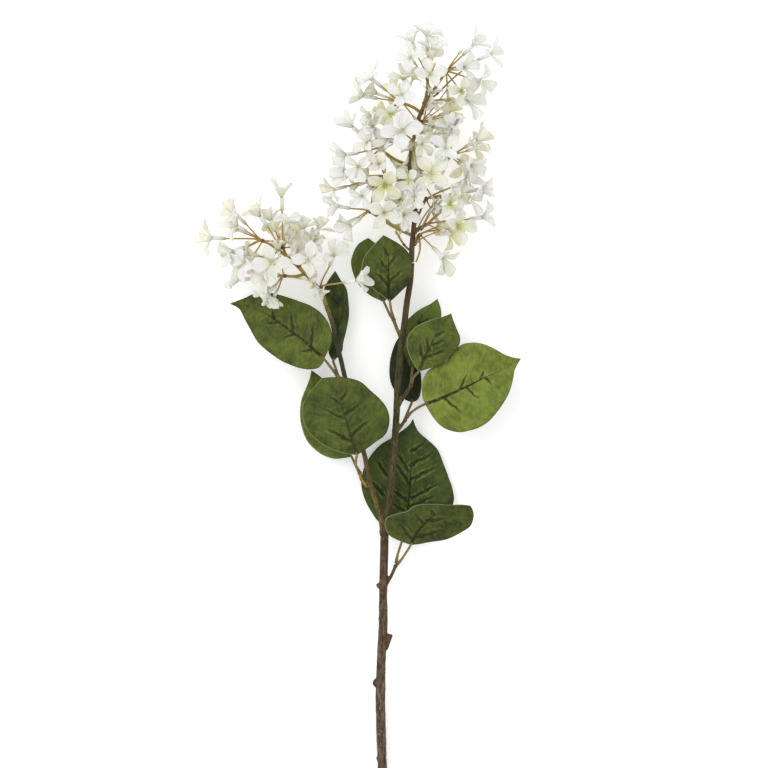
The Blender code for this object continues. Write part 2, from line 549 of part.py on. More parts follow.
def build_leaf(name, leaf, parts):
    """Blade and petiole in one solid. The petiole ends just short of its bud."""
    pieces = working_collection(name + "_pieces")
    blade = new_object("blade", blade_surface(leaf), parts)
    shell = blade.modifiers.new("thickness", "SOLIDIFY")
    shell.thickness = BLADE_THICKNESS
    shell.offset = 0.0
    bud = place(*TWIGS[leaf.twig][-1])
    spots = [place(*spot) for spot in leaf.petiole]
    midrib = [place(*spot) for spot in leaf.midrib]
    towards = (spots[0] - bud).normalized()
    start = bud + towards * (BUD_RADIUS + SEAT_GAP)
    sunk = catmull(midrib, 0.12)
    route = [start, start + towards * 0.001] + spots + [midrib[0], sunk]
    radii = [PETIOLE_RADIUS] * (len(route) - 1) + [PETIOLE_RADIUS * 0.7]
    tube("petiole", route, radii, 1, pieces)
    solid = fuse(blade, pieces, name, parts, "EXACT")
    tidy_mesh(solid)
    finish = DARK_GREEN if name.endswith("back") else GREEN
    solid.data.materials.clear()
    solid.data.materials.append(material(name, finish))


def ring(cage, centre, direction, across, radius):
    """Corners of a small square section of a stalk, anticlockwise about its direction."""
    side = (across - direction * across.dot(direction)).normalized()
    other = direction.cross(side)
    corners = []
    for index in range(RING_SIDES):
        angle = 2 * math.pi * (index - 0.5) / RING_SIDES
        corners.append(cage.verts.new(centre + radius * (side * math.cos(angle) + other * math.sin(angle))))
    return corners


def petal_outline(heading, opening):
    """Two widest points and the tip of a petal, in the floret's own axes."""
    rise = math.sin(opening)
    spread = math.cos(opening)
    points = []
    for turn, reach, lift in ((-PETAL_MID_ANGLE, PETAL_MID_REACH, PETAL_CUP),
                              (0.0, PETAL_REACH, -0.4 * PETAL_CUP),
                              (PETAL_MID_ANGLE, PETAL_MID_REACH, PETAL_CUP)):
        angle = heading + turn
        points.append(Vector((reach * spread * math.cos(angle), reach * spread * math.sin(angle),
                              reach * rise + lift)))
    return points


def floret_mesh(frame, size, hub, opening):
    """Closed mesh of a floret: four petals round a throat, the neck, the tube and the stalk."""
    cage = bmesh.new()
    facing = (frame.to_3x3() @ Vector((0, 0, 1))).normalized()
    across = (frame.to_3x3() @ Vector((1, 0, 0))).normalized()
    throat = frame.translation
    back = Vector((0, 0, -PETAL_THICKNESS))

    def both_faces(point):
        return cage.verts.new(frame @ point), cage.verts.new(frame @ (point + back))

    centre = cage.verts.new(frame @ Vector((0, 0, -THROAT_DEPTH)))
    notches = []
    for index in range(RING_SIDES):
        angle = 2 * math.pi * (index - 0.5) / RING_SIDES
        notches.append(both_faces(Vector((NOTCH_REACH * math.cos(angle), NOTCH_REACH * math.sin(angle), 0))))
    for index in range(RING_SIDES):
        right = notches[index]
        left = notches[(index + 1) % RING_SIDES]
        outline = petal_outline(2 * math.pi * index / RING_SIDES, opening)
        first, tip, second = [both_faces(point) for point in outline]
        cage.faces.new((centre, right[0], left[0]))
        for a, b, c in ((right, first, tip), (right, tip, left), (left, tip, second)):
            cage.faces.new((a[0], b[0], c[0]))
            cage.faces.new((c[1], b[1], a[1]))
        for a, b in ((right, first), (first, tip), (tip, second), (second, left)):
            cage.faces.new((a[0], a[1], b[1], b[0]))
    neck = ring(cage, throat - facing * NECK_DEPTH * size, facing, across, NECK_RADIUS * size)
    foot_centre = throat - facing * TUBE_LENGTH * size
    foot = ring(cage, foot_centre, facing, across, TUBE_RADIUS)
    stalk = (foot_centre - hub).normalized()
    root = ring(cage, hub + stalk * ROOT_DEPTH, stalk, across, STALK_RADIUS)
    levels = (root, foot, neck, [notch[1] for notch in notches])
    for lower, upper in zip(levels, levels[1:]):
        for index in range(RING_SIDES):
            after = (index + 1) % RING_SIDES
            cage.faces.new((lower[index], lower[after], upper[after], upper[index]))
    cage.faces.new(root[::-1])
    bmesh.ops.triangulate(cage, faces=cage.faces)
    bmesh.ops.recalc_face_normals(cage, faces=cage.faces)
    mesh = bpy.data.meshes.new("floret")
    cage.to_mesh(mesh)
    cage.free()
    return mesh


def floret_places(hub, spray, draw):
    """Throat, facing, direction of one petal and size of each floret of a spray."""
    places = []
    for floret in spray.florets:
        tilt = math.radians(floret.face)
        flat = place(*floret.throat, 0) - Vector((hub.x, hub.y, 0))
        rise = FLORET_REACH * 0.9 * math.sin(tilt) + floret.rise * MM
        heading = flat.normalized() if flat.length > 0.001 else Vector((0, 1, 0))
        facing = heading * math.cos(tilt) + Vector((0, 0, math.sin(tilt)))
        tip = place(*floret.tip, 0) - place(*floret.throat, 0)
        places.append((hub + flat + Vector((0, 0, rise)), facing.normalized(), tip, floret.size))
    for heading in spray.hidden:
        turn = math.radians(heading)
        tilt = math.radians(draw.uniform(-62, -30))
        facing = Vector((math.cos(turn) * math.cos(tilt), math.sin(turn) * math.cos(tilt), math.sin(tilt)))
        throat = hub + facing * FLORET_REACH * draw.uniform(0.85, 1.05)
        tip = Vector((math.cos(turn + 1), math.sin(turn + 1), 0))
        places.append((throat, facing, tip, draw.uniform(0.85, 1.0)))
    return places


def floret_frame(throat, facing, tip, size):
    """Matrix that carries the floret's own axes to its place, with a petal towards the tip."""
    across = tip - facing * tip.dot(facing)
    across.normalize()
    turn = Matrix((across, facing.cross(across), facing)).transposed().to_4x4()
    return Matrix.Translation(throat) @ turn @ Matrix.Scale(size, 4)


def floret_opening(facing, draw):
    """How far the petals rise from flat, in radians."""
    side = facing.x ** 2 + facing.y ** 2
    return math.radians(draw.uniform(*OPENING_RANGE) + SIDE_OPENING * side)


def build_head(name, rachis, sprays, seed, parts):
    """A flower head: rachis, branchlets and florets fused in one solid."""
    draw = random.Random(seed)
    pieces = working_collection(name + "_pieces")
    points, radii = smooth_route(rachis, 1)
    base = tube(name + "_rachis", points, radii, 2, parts)
    for spray in sprays:
        hub = place(*spray.hub)
        ball("hub", hub, [HUB_RADIUS] * 3, 1, pieces)
        if spray.branchlet:
            route = [place(*spot) for spot in spray.branchlet] + [hub]
            radii = [BRANCHLET_RADII[0]] + [BRANCHLET_RADII[1]] * (len(route) - 1)
            tube("branchlet", route, radii, 0, pieces)
        for throat, facing, tip, size in floret_places(hub, spray, draw):
            opening = floret_opening(facing, draw)
            frame = floret_frame(throat, facing, tip, size)
            corners = [frame @ (point + Vector((0, 0, depth)))
                       for index in range(RING_SIDES) for depth in (0, -PETAL_THICKNESS)
                       for point in petal_outline(2 * math.pi * index / RING_SIDES, opening)]
            lowest = min(corner.z for corner in corners)
            if lowest < TABLE_REACH:
                frame = Matrix.Translation((0, 0, -lowest)) @ frame
            new_object("floret", floret_mesh(frame, size, hub, opening), pieces)
    head = fuse(base, pieces, name, parts, "MANIFOLD")
    tidy_mesh(head)
    head.data.materials.clear()
    head.data.materials.append(material(name, WHITE))


def main():
    for item in list(bpy.data.objects):
        bpy.data.objects.remove(item)
    parts = bpy.data.collections.new("lilac_stem")
    bpy.context.scene.collection.children.link(parts)
    build_stem(parts)
    for name, leaf in LEAVES.items():
        build_leaf(name, leaf, parts)
    for name, (rachis, sprays, seed) in HEADS.items():
        build_head(name, rachis, sprays, seed, parts)


main()
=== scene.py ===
"""Lilac stem: the fine surfaces of a cut lilac stem that lies on a table, seen from above.

Every piece stands in for a solid of the frame and keeps its form. Places are read on the
photograph's grid, as the solids' places are, and sizes are real sizes in metres.
"""

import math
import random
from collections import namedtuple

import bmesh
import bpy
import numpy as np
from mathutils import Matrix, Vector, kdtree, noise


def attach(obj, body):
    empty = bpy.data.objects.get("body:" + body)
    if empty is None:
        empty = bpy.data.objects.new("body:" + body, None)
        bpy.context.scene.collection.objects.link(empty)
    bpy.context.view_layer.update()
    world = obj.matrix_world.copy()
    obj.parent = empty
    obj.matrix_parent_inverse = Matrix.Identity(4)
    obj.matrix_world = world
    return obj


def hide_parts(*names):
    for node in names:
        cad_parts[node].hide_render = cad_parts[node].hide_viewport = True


bl_info = {
    "name": "Lilac Stem",
    "version": (1, 0, 0),
    "blender": (4, 5, 0),
    "location": "View3D > Sidebar > Lilac",
    "description": "Builds a cut lilac stem with its leaves and white flower heads round its frame",
    "category": "Object",
}

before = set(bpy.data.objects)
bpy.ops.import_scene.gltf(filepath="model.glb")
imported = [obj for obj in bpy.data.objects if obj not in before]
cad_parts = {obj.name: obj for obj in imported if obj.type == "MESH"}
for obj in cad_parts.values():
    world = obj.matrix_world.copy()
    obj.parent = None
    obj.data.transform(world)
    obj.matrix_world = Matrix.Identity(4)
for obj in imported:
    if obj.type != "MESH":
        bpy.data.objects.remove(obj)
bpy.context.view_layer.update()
BODY = "root"

# Reading grid of the photograph. One step of it is this long on the real stem, and the frame's
# origin lies on this point of it. Heights are in millimetres above the table.
PIXEL = 0.00065
ORIGIN_X = 359.6
ORIGIN_Y = 411.7
MM = 0.001

# Clearance between two nodes that touch on the real stem.
SEAT_GAP = 0.0004

# A floret of the solids: its petals' tip and widest places, their thickness and cup, and the
# distance from its hub to its throat.
PETAL_REACH = 0.0132
PETAL_MID_REACH = 0.0090
PETAL_MID_ANGLE = math.radians(28)
PETAL_THICKNESS = 0.0009
PETAL_CUP = 0.0014
FLORET_REACH = 0.024

# How far the petals rise from flat, in degrees: drawn between these, and more where a floret
# turns its side to the viewer.
OPENING_RANGE = (6, 26)
SIDE_OPENING = 24

# The knob where a spray's stalks meet, and the branchlet's radii.
HUB_RADIUS = 0.0017
BRANCHLET_RADII = (0.0011, 0.0009)

# A floret that hangs this close above the table rests on it, and the middle of its lowest petal
# stays this high above it.
TABLE_REACH = 0.009
TABLE_CLEARANCE = 0.0002

# The tube of a petiole, and the leaf twigs with their swollen nodes.
PETIOLE_RADIUS = 0.00092
TWIG_RADIUS = 0.0012
BUD_RADIUS = 0.0016

# The stem's routes: grid x, grid y, height, radius in millimetres.
TRUNK = (
    (382.5, 801, 2.95, 3.05), (382.3, 768, 5, 3), (381.5, 740, 6.4, 3.1),
    (380.6, 712, 7.8, 3.2), (380.6, 690, 9, 3.2), (381.2, 660, 10.4, 2.9),
    (383, 630, 12, 2.95), (383.2, 600, 13.4, 2.75), (383.6, 575, 14.8, 2.75),
    (384.3, 548, 16.2, 2.8), (384.6, 530, 17.2, 2.8),
)
RIGHT_STEM = (
    (384.4, 536, 17, 2.5), (386.6, 518, 17.9, 2.4), (390, 500, 18.7, 2.3),
    (391.4, 480, 19.6, 2.3), (393.2, 460, 20.6, 2.3), (394.8, 440, 21.5, 2.3),
    (396.2, 420, 22.4, 2.25), (397, 400, 23.4, 2.2), (397.6, 385, 24.2, 2.2),
    (399.4, 365, 25.2, 2.15), (401.4, 345, 26.2, 2.1), (404.2, 325, 27.2, 2.1),
    (407, 302, 28.6, 2.05), (410.2, 282, 30, 2), (411.4, 263.2, 31.2, 2),
)
LEFT_BRANCH = (
    (383.6, 538, 16.8, 2), (381.4, 520, 17.6, 1.8), (378, 508, 18.1, 1.7),
    (373.6, 494, 18.7, 1.7), (369, 478, 19.3, 1.65), (364.4, 455, 20.3, 1.6),
    (358.2, 430, 21.4, 1.6), (351.6, 404, 22.6, 1.6), (345.2, 379, 23.8, 1.6),
    (341, 360, 24.7, 1.55), (337, 345, 25.4, 1.5), (333, 326, 26.3, 1.5),
    (329, 313, 27, 1.5), (326, 306, 27.4, 1.5),
)

# Knots, side nubs and the cut stub: centre on the grid, height, radii along x, y and z.
KNOTS = (
    ("ring knot", 382.3, 586.6, 13.9, (3.9, 2.7, 3.5)),
    ("left knob", 376.7, 684.5, 9.2, (2.7, 3.4, 2.4)),
    ("low nub", 378.8, 727, 7, (1.7, 1.5, 1.6)),
    ("dark nub", 380.4, 761, 5.4, (2.9, 2.2, 1.9)),
    ("fork collar", 384.2, 533, 17.1, (3.3, 3.9, 2.9)),
)
STUB = ((384.5, 650, 11, 2), (387.6, 643, 11.8, 1.9), (390.6, 635.5, 12.6, 1.75))

# Leaf twigs: the route from inside the stem to the bud that carries two leaves.
TWIGS = {
    "fork": ((383, 590, 13.8), (390, 579, 14.2), (395.5, 567, 14.6)),
    "left": ((368.6, 487, 19), (361.8, 480.5, 19.4), (359.6, 473, 19.8)),
    "outer": ((344.6, 381, 23.8), (340.4, 378.6, 24.2), (336.8, 374.6, 24.4)),
    "low": ((396, 432, 21.9), (400.4, 427, 22.6), (405.2, 420, 23.4)),
    "mid": ((397.4, 407, 23.2), (404.6, 395.5, 24.6), (411, 385, 25.8)),
    "high": ((401.6, 339, 26.4), (396.6, 328, 27.4), (393.6, 319.6, 28)),
}

# A leaf: the twig it grows from, its petiole and midrib from base to tip with heights, its two
# edges between base and tip, how far each edge stands above the midrib, and the wave of the edges,
# all heights in millimetres.
Leaf = namedtuple("Leaf", "twig petiole midrib left right lift wave")
LEAVES = {
    "leaf_fork_front": Leaf(
        "fork", ((401.5, 560, 18.4), (407.4, 551, 21.2)),
        ((411, 545, 23), (414, 537.5, 27), (419, 529, 31), (425, 523, 34), (430, 517.5, 36),
         (440, 512.5, 37), (455, 508, 37), (470.5, 505.5, 35)),
        ((400, 541), (389, 535), (385, 526), (386.5, 517.5), (396, 513.5), (407, 510.5), (415, 505),
         (430, 503.6), (450, 504.6), (462, 504.4)),
        ((420, 544), (430, 542), (443, 540), (452, 537), (463, 531), (470, 526), (473, 519), (473.2, 512)),
        (4, -5), 0.8),
    "leaf_fork_back": Leaf(
        "fork", ((397.6, 556, 12.8), (400, 548, 11.6)),
        ((402.5, 541, 11), (407, 520, 10.6), (409, 500, 10.4), (411, 470, 10), (412.5, 440, 9.6),
         (413, 419, 9)),
        ((392, 530), (379, 523), (368, 507), (363, 495), (361, 482), (364, 468), (370, 457), (380, 445.5),
         (392, 438), (402, 431), (409.5, 425)),
        ((415, 536), (432, 528), (446, 518), (454, 503), (453, 490), (449, 478), (443, 462), (438, 450),
         (429, 441), (420, 433.5), (416, 427.5)),
        (-3.6, -4), 0.8),
    "leaf_left_front": Leaf(
        "left", ((356, 465.5, 24.4), (356, 460, 26.4)),
        ((357, 455, 27.4), (352, 440, 29.4), (348, 427, 30.6), (344, 414, 31.4), (340.5, 402, 31.4),
         (336, 391, 30.6), (322, 378, 28.4)),
        ((345, 453.6), (333, 450), (322, 444), (312, 436), (305, 426), (302, 415), (303, 404.5),
         (308, 394.5), (315, 386)),
        ((362, 452), (369, 447), (377, 441), (384, 436), (388.4, 428), (389.5, 418), (386.5, 407.5),
         (379.5, 398.5), (370, 390), (361, 382), (349, 378), (335, 377)),
        (-2.4, 0.8), 0.7),
    "leaf_left_back": Leaf(
        "left", ((355.6, 466, 16.6), (353.4, 461, 15.2)),
        ((351.5, 457, 14.6), (338, 438, 12.6), (325, 415, 11.6), (316, 392, 12), (311, 370, 13)),
        ((343, 458.6), (333, 459), (320, 454), (308, 443), (302, 430), (299.6, 415), (301, 400), (306, 387),
         (309.4, 378)),
        ((351, 446), (348, 430), (342, 412), (335, 396), (327, 383), (318, 375)),
        (-1.6, -1.6), 0.7),
    "leaf_outer_front": Leaf(
        "outer", ((333, 370, 26.8), (328.6, 364.6, 28)),
        ((324, 359, 28.6), (312, 348, 29.4), (303, 340, 29.6), (292, 332, 29), (280, 323, 27.6),
         (264, 312.5, 24.6), (248, 306.5, 21.4), (229.5, 303.4, 18.6)),
        ((323, 363), (318, 368), (310, 369.4), (300, 368.2), (291, 365), (280, 360), (265, 349), (257, 341),
         (250, 329), (244, 318), (239, 308.6)),
        ((327.6, 352), (331, 344), (332, 334), (328, 322), (320, 312), (310, 305.4), (300, 301.6),
         (290, 298), (277, 294.2), (265, 292), (254, 293.4), (244, 298)),
        (-2.6, -1), 0.7),
    "leaf_outer_back": Leaf(
        "outer", ((335.8, 369, 21), (334.4, 365, 20)),
        ((333, 361.5, 19.6), (336.5, 345, 18.6), (338, 325, 18.2), (337, 300, 18.6), (335, 270.5, 21)),
        ((328.4, 352), (331.5, 340), (331.5, 328), (328, 314), (322.5, 300), (323.6, 290), (327.5, 281)),
        ((341.4, 352), (343, 342), (346, 330), (348.6, 315), (348, 300), (346, 288), (340.6, 280)),
        (-6.5, -6.5), 0.5),
    "leaf_low_front": Leaf(
        "low", ((411, 412.6, 26), (418, 407.6, 27.6)),
        ((425, 404, 28.6), (440, 398.8, 30.6), (455, 392, 32), (470, 385, 32.4), (483, 378.4, 31.6),
         (496, 372.6, 29.8), (509, 366.4, 27.6), (521, 358.5, 25.6)),
        ((422.6, 398), (421.6, 388), (423.4, 378), (430, 369), (446, 361.4), (455, 350.4), (463, 344),
         (475, 342.6), (485, 344.6), (495, 349), (505, 354.6), (514, 357.6)),
        ((427, 407.4), (433, 417), (441, 426), (450, 430.4), (460, 432.2), (470, 430.4), (480, 427),
         (490, 420), (500, 408), (508, 395), (512.4, 382), (515, 369)),
        (-3, -2.4), 0.9),
    "leaf_low_back": Leaf(
        "low", ((407.6, 412.6, 18.4), (410, 407, 15)),
        ((412, 402.5, 13.6), (410.5, 388, 11), (407, 370, 9.6), (403, 352, 9.4), (399, 337, 9.8)),
        ((404, 399), (395, 391), (390.2, 380), (389.5, 368), (391, 356), (394.8, 344)),
        ((418.6, 399), (421.4, 388), (421, 374), (417, 360), (410, 347)),
        (-2, -2), 0.5),
    "leaf_mid_front": Leaf(
        "mid", ((412.4, 379.6, 28.6), (415.4, 375, 30.4)),
        ((419, 371.5, 31.4), (423.4, 360, 33.4), (428.4, 350, 34.6), (433, 340, 35), (438.6, 329, 34.2),
         (451, 313.5, 31.6)),
        ((414.6, 366), (410.2, 358), (407, 348), (407, 339), (411, 331.2), (418, 325.4), (430, 320),
         (442, 317)),
        ((425, 369.6), (436, 366), (446, 361), (453.6, 353), (459, 345), (460, 337.6), (457, 330),
         (453.6, 321.6)),
        (0.6, -1.6), 0.6),
    "leaf_mid_back": Leaf(
        "mid", ((411.6, 378.6, 22.8), (411.8, 374, 21)),
        ((412.4, 370, 20.4), (412.6, 352, 18.6), (415.4, 334, 17.8), (424, 315, 18), (437.6, 298.6, 19)),
        ((406.4, 360), (402.8, 346), (402.2, 332), (406, 322), (412, 315.4), (420, 309.2), (431, 303.4)),
        ((419.6, 363), (427, 352), (434, 339), (440, 325), (441.4, 311)),
        (-1.6, -1.6), 0.5),
    "leaf_high_front": Leaf(
        "high", ((391.8, 312.6, 32), (390.6, 307, 34)),
        ((390, 302, 35), (388.4, 285, 36), (388.4, 270, 36.6), (388, 254, 37.2), (383.4, 235.5, 38.4)),
        ((382.4, 296.4), (375, 291), (367.4, 283.4), (361.4, 275), (361.8, 264.6), (364, 257.4),
         (370, 249.6), (376.6, 242.4)),
        ((394.4, 298), (400.6, 292), (407, 285.6), (411, 277.6), (412.4, 268), (411, 259.6), (407, 251.4),
         (400, 245), (390.6, 239.4)),
        (2.4, 2.6), 0.6),
    "leaf_high_back": Leaf(
        "high", ((389, 313, 24.6), (386.4, 307, 22.8)),
        ((384, 302, 22), (378, 287, 19.6), (372, 270, 18.4), (369, 254, 18.6), (368, 237.5, 19.6)),
        ((372, 296.4), (364, 290), (357.6, 282.6), (353, 273), (351, 263), (352.4, 254.6), (358, 244)),
        ((390, 294), (393, 283), (392, 271), (387, 258), (379, 246)),
        (-1.6, -1.6), 0.5),
}

# A floret's throat on the grid, the tip of one of its petals, how far it turns towards the viewer
# in degrees (0 lies along the table, 90 looks straight up), its size, and how much higher than the
# rule puts it in millimetres.
Floret = namedtuple("Floret", "throat tip face size rise", defaults=(1, 0))
# A spray: its hub with the height, the branchlet that leads there, its florets, and the headings in
# degrees from +X of those that face the table, out of sight.
Spray = namedtuple("Spray", "hub branchlet florets hidden")

MAIN_RACHIS = (
    (411.4, 262.5, 31.3, 1.9), (412, 246, 32.2, 1.8), (414, 224, 33.2, 1.6),
    (415.2, 204, 34.2, 1.5), (412, 184, 35.2, 1.4), (409.4, 164, 36, 1.3),
    (412.6, 143, 36.8, 1.2), (419, 120, 37.4, 1.1), (424.6, 102, 37.8, 1),
    (427, 90, 38, 0.9), (427.4, 79, 38.2, 0.9),
)
MAIN_SPRAYS = (
    Spray((427.4, 80, 38.2), (), (
        ((427, 37), (417, 25), 14), ((412, 44), (395, 38), 12), ((433, 50), (452, 41), 28),
        ((410, 60), (397, 57), 55, 0.9), ((430, 77), (446, 72), 78, 0.95)), (80,)),
    Spray((446, 73, 39), ((424, 104, 37.6), (436, 87, 38.4)), (
        ((473, 46), (464, 37), 15), ((491, 56), (484, 38), 22), ((464, 70), (464, 52), 55),
        ((481, 83), (488, 69), 40), ((461, 94), (471, 97), 75, 0.85)), ()),
    Spray((426, 103, 39.8), ((422.4, 111, 37.6),), (
        ((467, 102), (471, 82), 38, 1.2),), ()),
    Spray((421, 124, 39), ((417.6, 126, 37.2),), (
        ((449, 111), (456, 121), -35, 0.9), ((450, 127), (458, 132), 25, 0.7)), (350,)),
    Spray((403, 104, 38.6), ((421.6, 114, 37.4), (413, 108, 38)), (
        ((404, 80), (384, 82), 38), ((371, 80), (376, 61), 18), ((363, 97), (353, 89), 15),
        ((402, 97), (388, 93), 80, 0.9), ((371, 118), (360, 122), 40, 0.9),
        ((391, 117), (391, 106), 70, 0.85)), (120, 200)),
    Spray((412.6, 144, 40), ((412.6, 150, 36.6),), (
        ((402, 133), (403, 108), 80, 1.2), ((388, 141), (376, 148), 45, 0.9),
        ((433, 138), (446, 141), -30, 0.95), ((422, 146), (432, 153), 62, 0.85)), (270,)),
    Spray((381, 150, 36.8), ((409.4, 166, 35.8), (395, 160, 36.6)), (
        ((352, 128), (345, 116), 20), ((373, 128), (373, 115), 50, 0.9), ((345, 156), (331, 148), 28),
        ((358, 169), (346, 178), 60, 0.9), ((367, 144), (357, 151), 52, 0.85)), (150,)),
    Spray((387, 177, 36.6), ((411, 179, 35.4), (399, 181, 36.2)), (
        ((347, 177), (328, 172), 25), ((334, 190), (324, 196), 8, 0.9), ((379, 166), (368, 158), 74, 0.9),
        ((385, 187), (397, 172), 80, 1.1), ((362, 198), (352, 190), 55, 0.85)), ()),
    Spray((450, 157, 37.6), ((410.6, 172, 35.6), (431, 168, 36.6)), (
        ((451, 130), (462, 122), 30), ((445, 150), (456, 160), 76, 0.95), ((477, 141), (479, 129), 18),
        ((471, 167), (484, 173), 40)), (20, 330)),
    Spray((421, 180, 39.6), ((414, 193, 34.8),), (
        ((408, 182), (398, 190), 60, 0.9), ((431, 176), (448, 194), 80, 1.2),
        ((399, 201), (390, 192), 50, 0.9), ((414, 199), (405, 207), 66, 0.8)), ()),
    Spray((426, 200, 35.8), ((415.2, 211, 33.8), (420, 206, 34.8)), (
        ((466, 181), (478, 171), 30), ((480, 190), (493, 190), 12, 0.95), ((460, 196), (452, 206), 62, 0.9),
        ((471, 200), (479, 213), 34)), (300,)),
    Spray((425.5, 225, 35.2), ((413.4, 231, 32.8),), (
        ((483, 218), (495, 209), 18), ((450, 205), (440, 198), 76, 0.9)), (340,)),
    Spray((420, 235, 34.2), ((412, 246, 32),), (
        ((443, 258), (466, 254), 24, 1.05), ((458, 228), (458, 246), 62, 1.1)), ()),
    Spray((370, 212, 34.6), ((412.8, 236, 32.6), (392, 226, 34)), (
        ((385, 214), (374, 238), 74, 1.1), ((350, 227), (344, 250), 30, 1, 3),
        ((338, 207), (326, 200), 22, 0.9, 1.5), ((404, 216), (399, 229), 62, 0.9)), ()),
)

SIDE_RACHIS = (
    (325.8, 305.4, 27.5, 1.45), (322, 293, 28.4, 1.3), (314, 283, 29.4, 1.2),
    (305, 274, 30.4, 1.1), (297, 266, 31.2, 1), (287, 256, 32, 0.9),
    (283, 247, 32.6, 0.9),
)
SIDE_SPRAYS = (
    Spray((263, 241, 33), ((287, 256.4, 32), (275, 248, 32.6)), (
        ((211, 238), (205, 223), 12, 1), ((236, 214), (227, 201), 18), ((237, 226), (219, 224), 36, 0.95),
        ((233, 252), (216, 252), 24)), (200,)),
    Spray((283, 248, 32.6), (), (
        ((260, 216), (253, 203), 20), ((282, 197), (270, 191), 16),
        ((288, 223), (300, 210), 32)), (60, 110)),
    Spray((299, 266, 31.6), ((305, 274, 30.4),), (
        ((303, 228), (301, 215), 6, 0.95), ((318, 229), (334, 222), 4, 0.95),
        ((309, 261), (329, 262), 72)), (80,)),
    Spray((321, 287, 30), ((322, 293.6, 28.4),), (
        ((334, 256), (325, 243), 44, 1), ((357, 281), (362, 261), 18, 0.95, 15)), ()),
    Spray((278, 260, 34.6), ((289, 258.6, 31.8),), (
        ((245, 263), (250, 246), 42), ((273, 263), (272, 245), 80, 1.15)), (180,)),
    Spray((285, 276, 33), ((305, 274, 30.4), (295, 276.6, 31.6)), (
        ((239, 280), (223, 280), 8, 0.95), ((266, 280), (253, 281), 58, 0.95),
        ((268, 294), (278, 308), 34, 0.95)), (160,)),
)

HEADS = {
    "main_panicle": (MAIN_RACHIS, MAIN_SPRAYS, 11),
    "side_panicle": (SIDE_RACHIS, SIDE_SPRAYS, 23),
}

# A fine petal: its mouth, its half width and where along it is widest.
MOUTH_RADIUS = 0.0010
PETAL_WIDTH = 0.0042
PETAL_WIDEST = 0.58
# What each petal draws for itself, in the order of the table: its turn, twist and ripple in
# radians, its lean in degrees, shares of the reach and the width, its curl, fold and bow in
# metres, and where in the pattern its creases start.
PETAL_DRAWS = {
    "turn": (-0.20, 0.20), "lean": (-24, 24), "reach": (0.86, 1.03), "width": (0.78, 1.04),
    "curl": (-0.0012, 0.0040), "fold": (-0.0002, 0.0034), "twist": (-0.50, 0.50), "bow": (-0.0014, 0.0014),
    "crease_x": (0, 90), "crease_y": (0, 90), "ripple": (0, 6.28),
}
Petal = namedtuple("Petal", PETAL_DRAWS)
# The waves, the pleat along the middle, the creases and how far the mouth sinks.
WAVE_HEIGHT = 0.00045
PLEAT_DEPTH = 0.0003
CREASE_HEIGHT = 0.0013
CREASES_PER_METRE = 420
MOUTH_SINK = 0.0009

# Rings of a floret's tube, from inside its mouth over the lip to its foot: place along the
# floret's facing, radius, and how warm its colour is.
TUBE_PROFILE = (
    (-0.0013, 0.00030, 0.7), (-0.0012, 0.00070, 0.6), (-0.0009, 0.00090, 0.4), (-0.0007, 0.00125, 0.2),
    (-0.0014, 0.00165, 0.1), (-0.0028, 0.00150, 0.15), (-0.0050, 0.00132, 0.3), (-0.0078, 0.00138, 0.45),
    (-0.0096, 0.00112, 0.6), (-0.0101, 0.00070, 0.7),
)
# The cup under the tube's foot: place from the foot, radius, age of its colour.
CUP_PROFILE = ((0.0001, 0.00088, 0.55), (0.0010, 0.00122, 0.3), (0.0021, 0.00134, 0.1))
CUP_PLACE = 0.0098
# The bud that ends a bare stalk: place past its end, radius in millimetres, white share.
BUD_PROFILE = ((0.0006, 0.7, 0.2), (0.0018, 1.05, 0.8), (0.0032, 1.0, 1.0), (0.0044, 0.5, 1.0))

# Pressed blade: how far the midrib and a side vein press the blade beside them, how deep the
# midrib is and how much of that its tip loses, the puffs between the veins, and the flat edge.
RIB_GROOVE = 0.0011
VEIN_GROOVE = 0.0013
RIB_DEPTH = 0.8
RIB_FADE = 0.7
PUFF_HEIGHT = 0.25
PUFF_FINENESS = 140
FLAT_EDGE = 0.0022

# Petiole: how much thicker its foot is, the midrib's radius at its foot and what its tip loses of
# it, as shares of the petiole's radius, and the stretch of the blade that the midrib runs along.
PETIOLE_SWELL = 1.25
MIDRIB_RADIUS = 0.85
MIDRIB_TAPER = 0.68
MIDRIB_START = 0.02
MIDRIB_STRETCH = 0.82

# Floret stalk: its thin radius, the swelling at the hub, and how far it leaves the hub and meets
# the tube in a straight line, as shares of its length and at most in metres.
STALK_RADIUS = 0.00052
STALK_SWELL = 0.00012
STALK_LEAVE = (0.45, 0.005)
STALK_MEET = (0.35, 0.006)

# Bare stalks and knots of the heads, as shares of the sizes read from the photograph.
BARE_STALK_SHARE = 0.8
BARE_KNOT_SHARE = 0.72
HUB_SHARE = 0.85
BRANCHLET_KNOT_SHARE = 1.25

# Bark: fineness of its ridges, lumps and pits along x, y and z, and how fast the tints of two
# neighbouring samples blend.
RIDGE_FINENESS = (900, 70, 900)
LUMP_FINENESS = 240
PIT_FINENESS = (1500, 500, 1500)
TINT_SOFTNESS = 0.0003

# Florets that face the table: ranges of their tilt in degrees, of the distance from the hub as a
# share of the usual one, and of their size, and how green they are.
HIDDEN_TILT = (-62, -30)
HIDDEN_REACH = (0.85, 1.05)
HIDDEN_SIZE = (0.85, 1)
HIDDEN_GREEN = 0.3

# The same for the small florets that fill a spray, whose headings wander this many degrees.
FILL_TILT = (-12, 34)
FILL_REACH = (0.66, 0.86)
FILL_SIZE = (0.62, 0.8)
FILL_GREEN = (0.1, 0.75)
FILL_WANDER = (-25, 25)

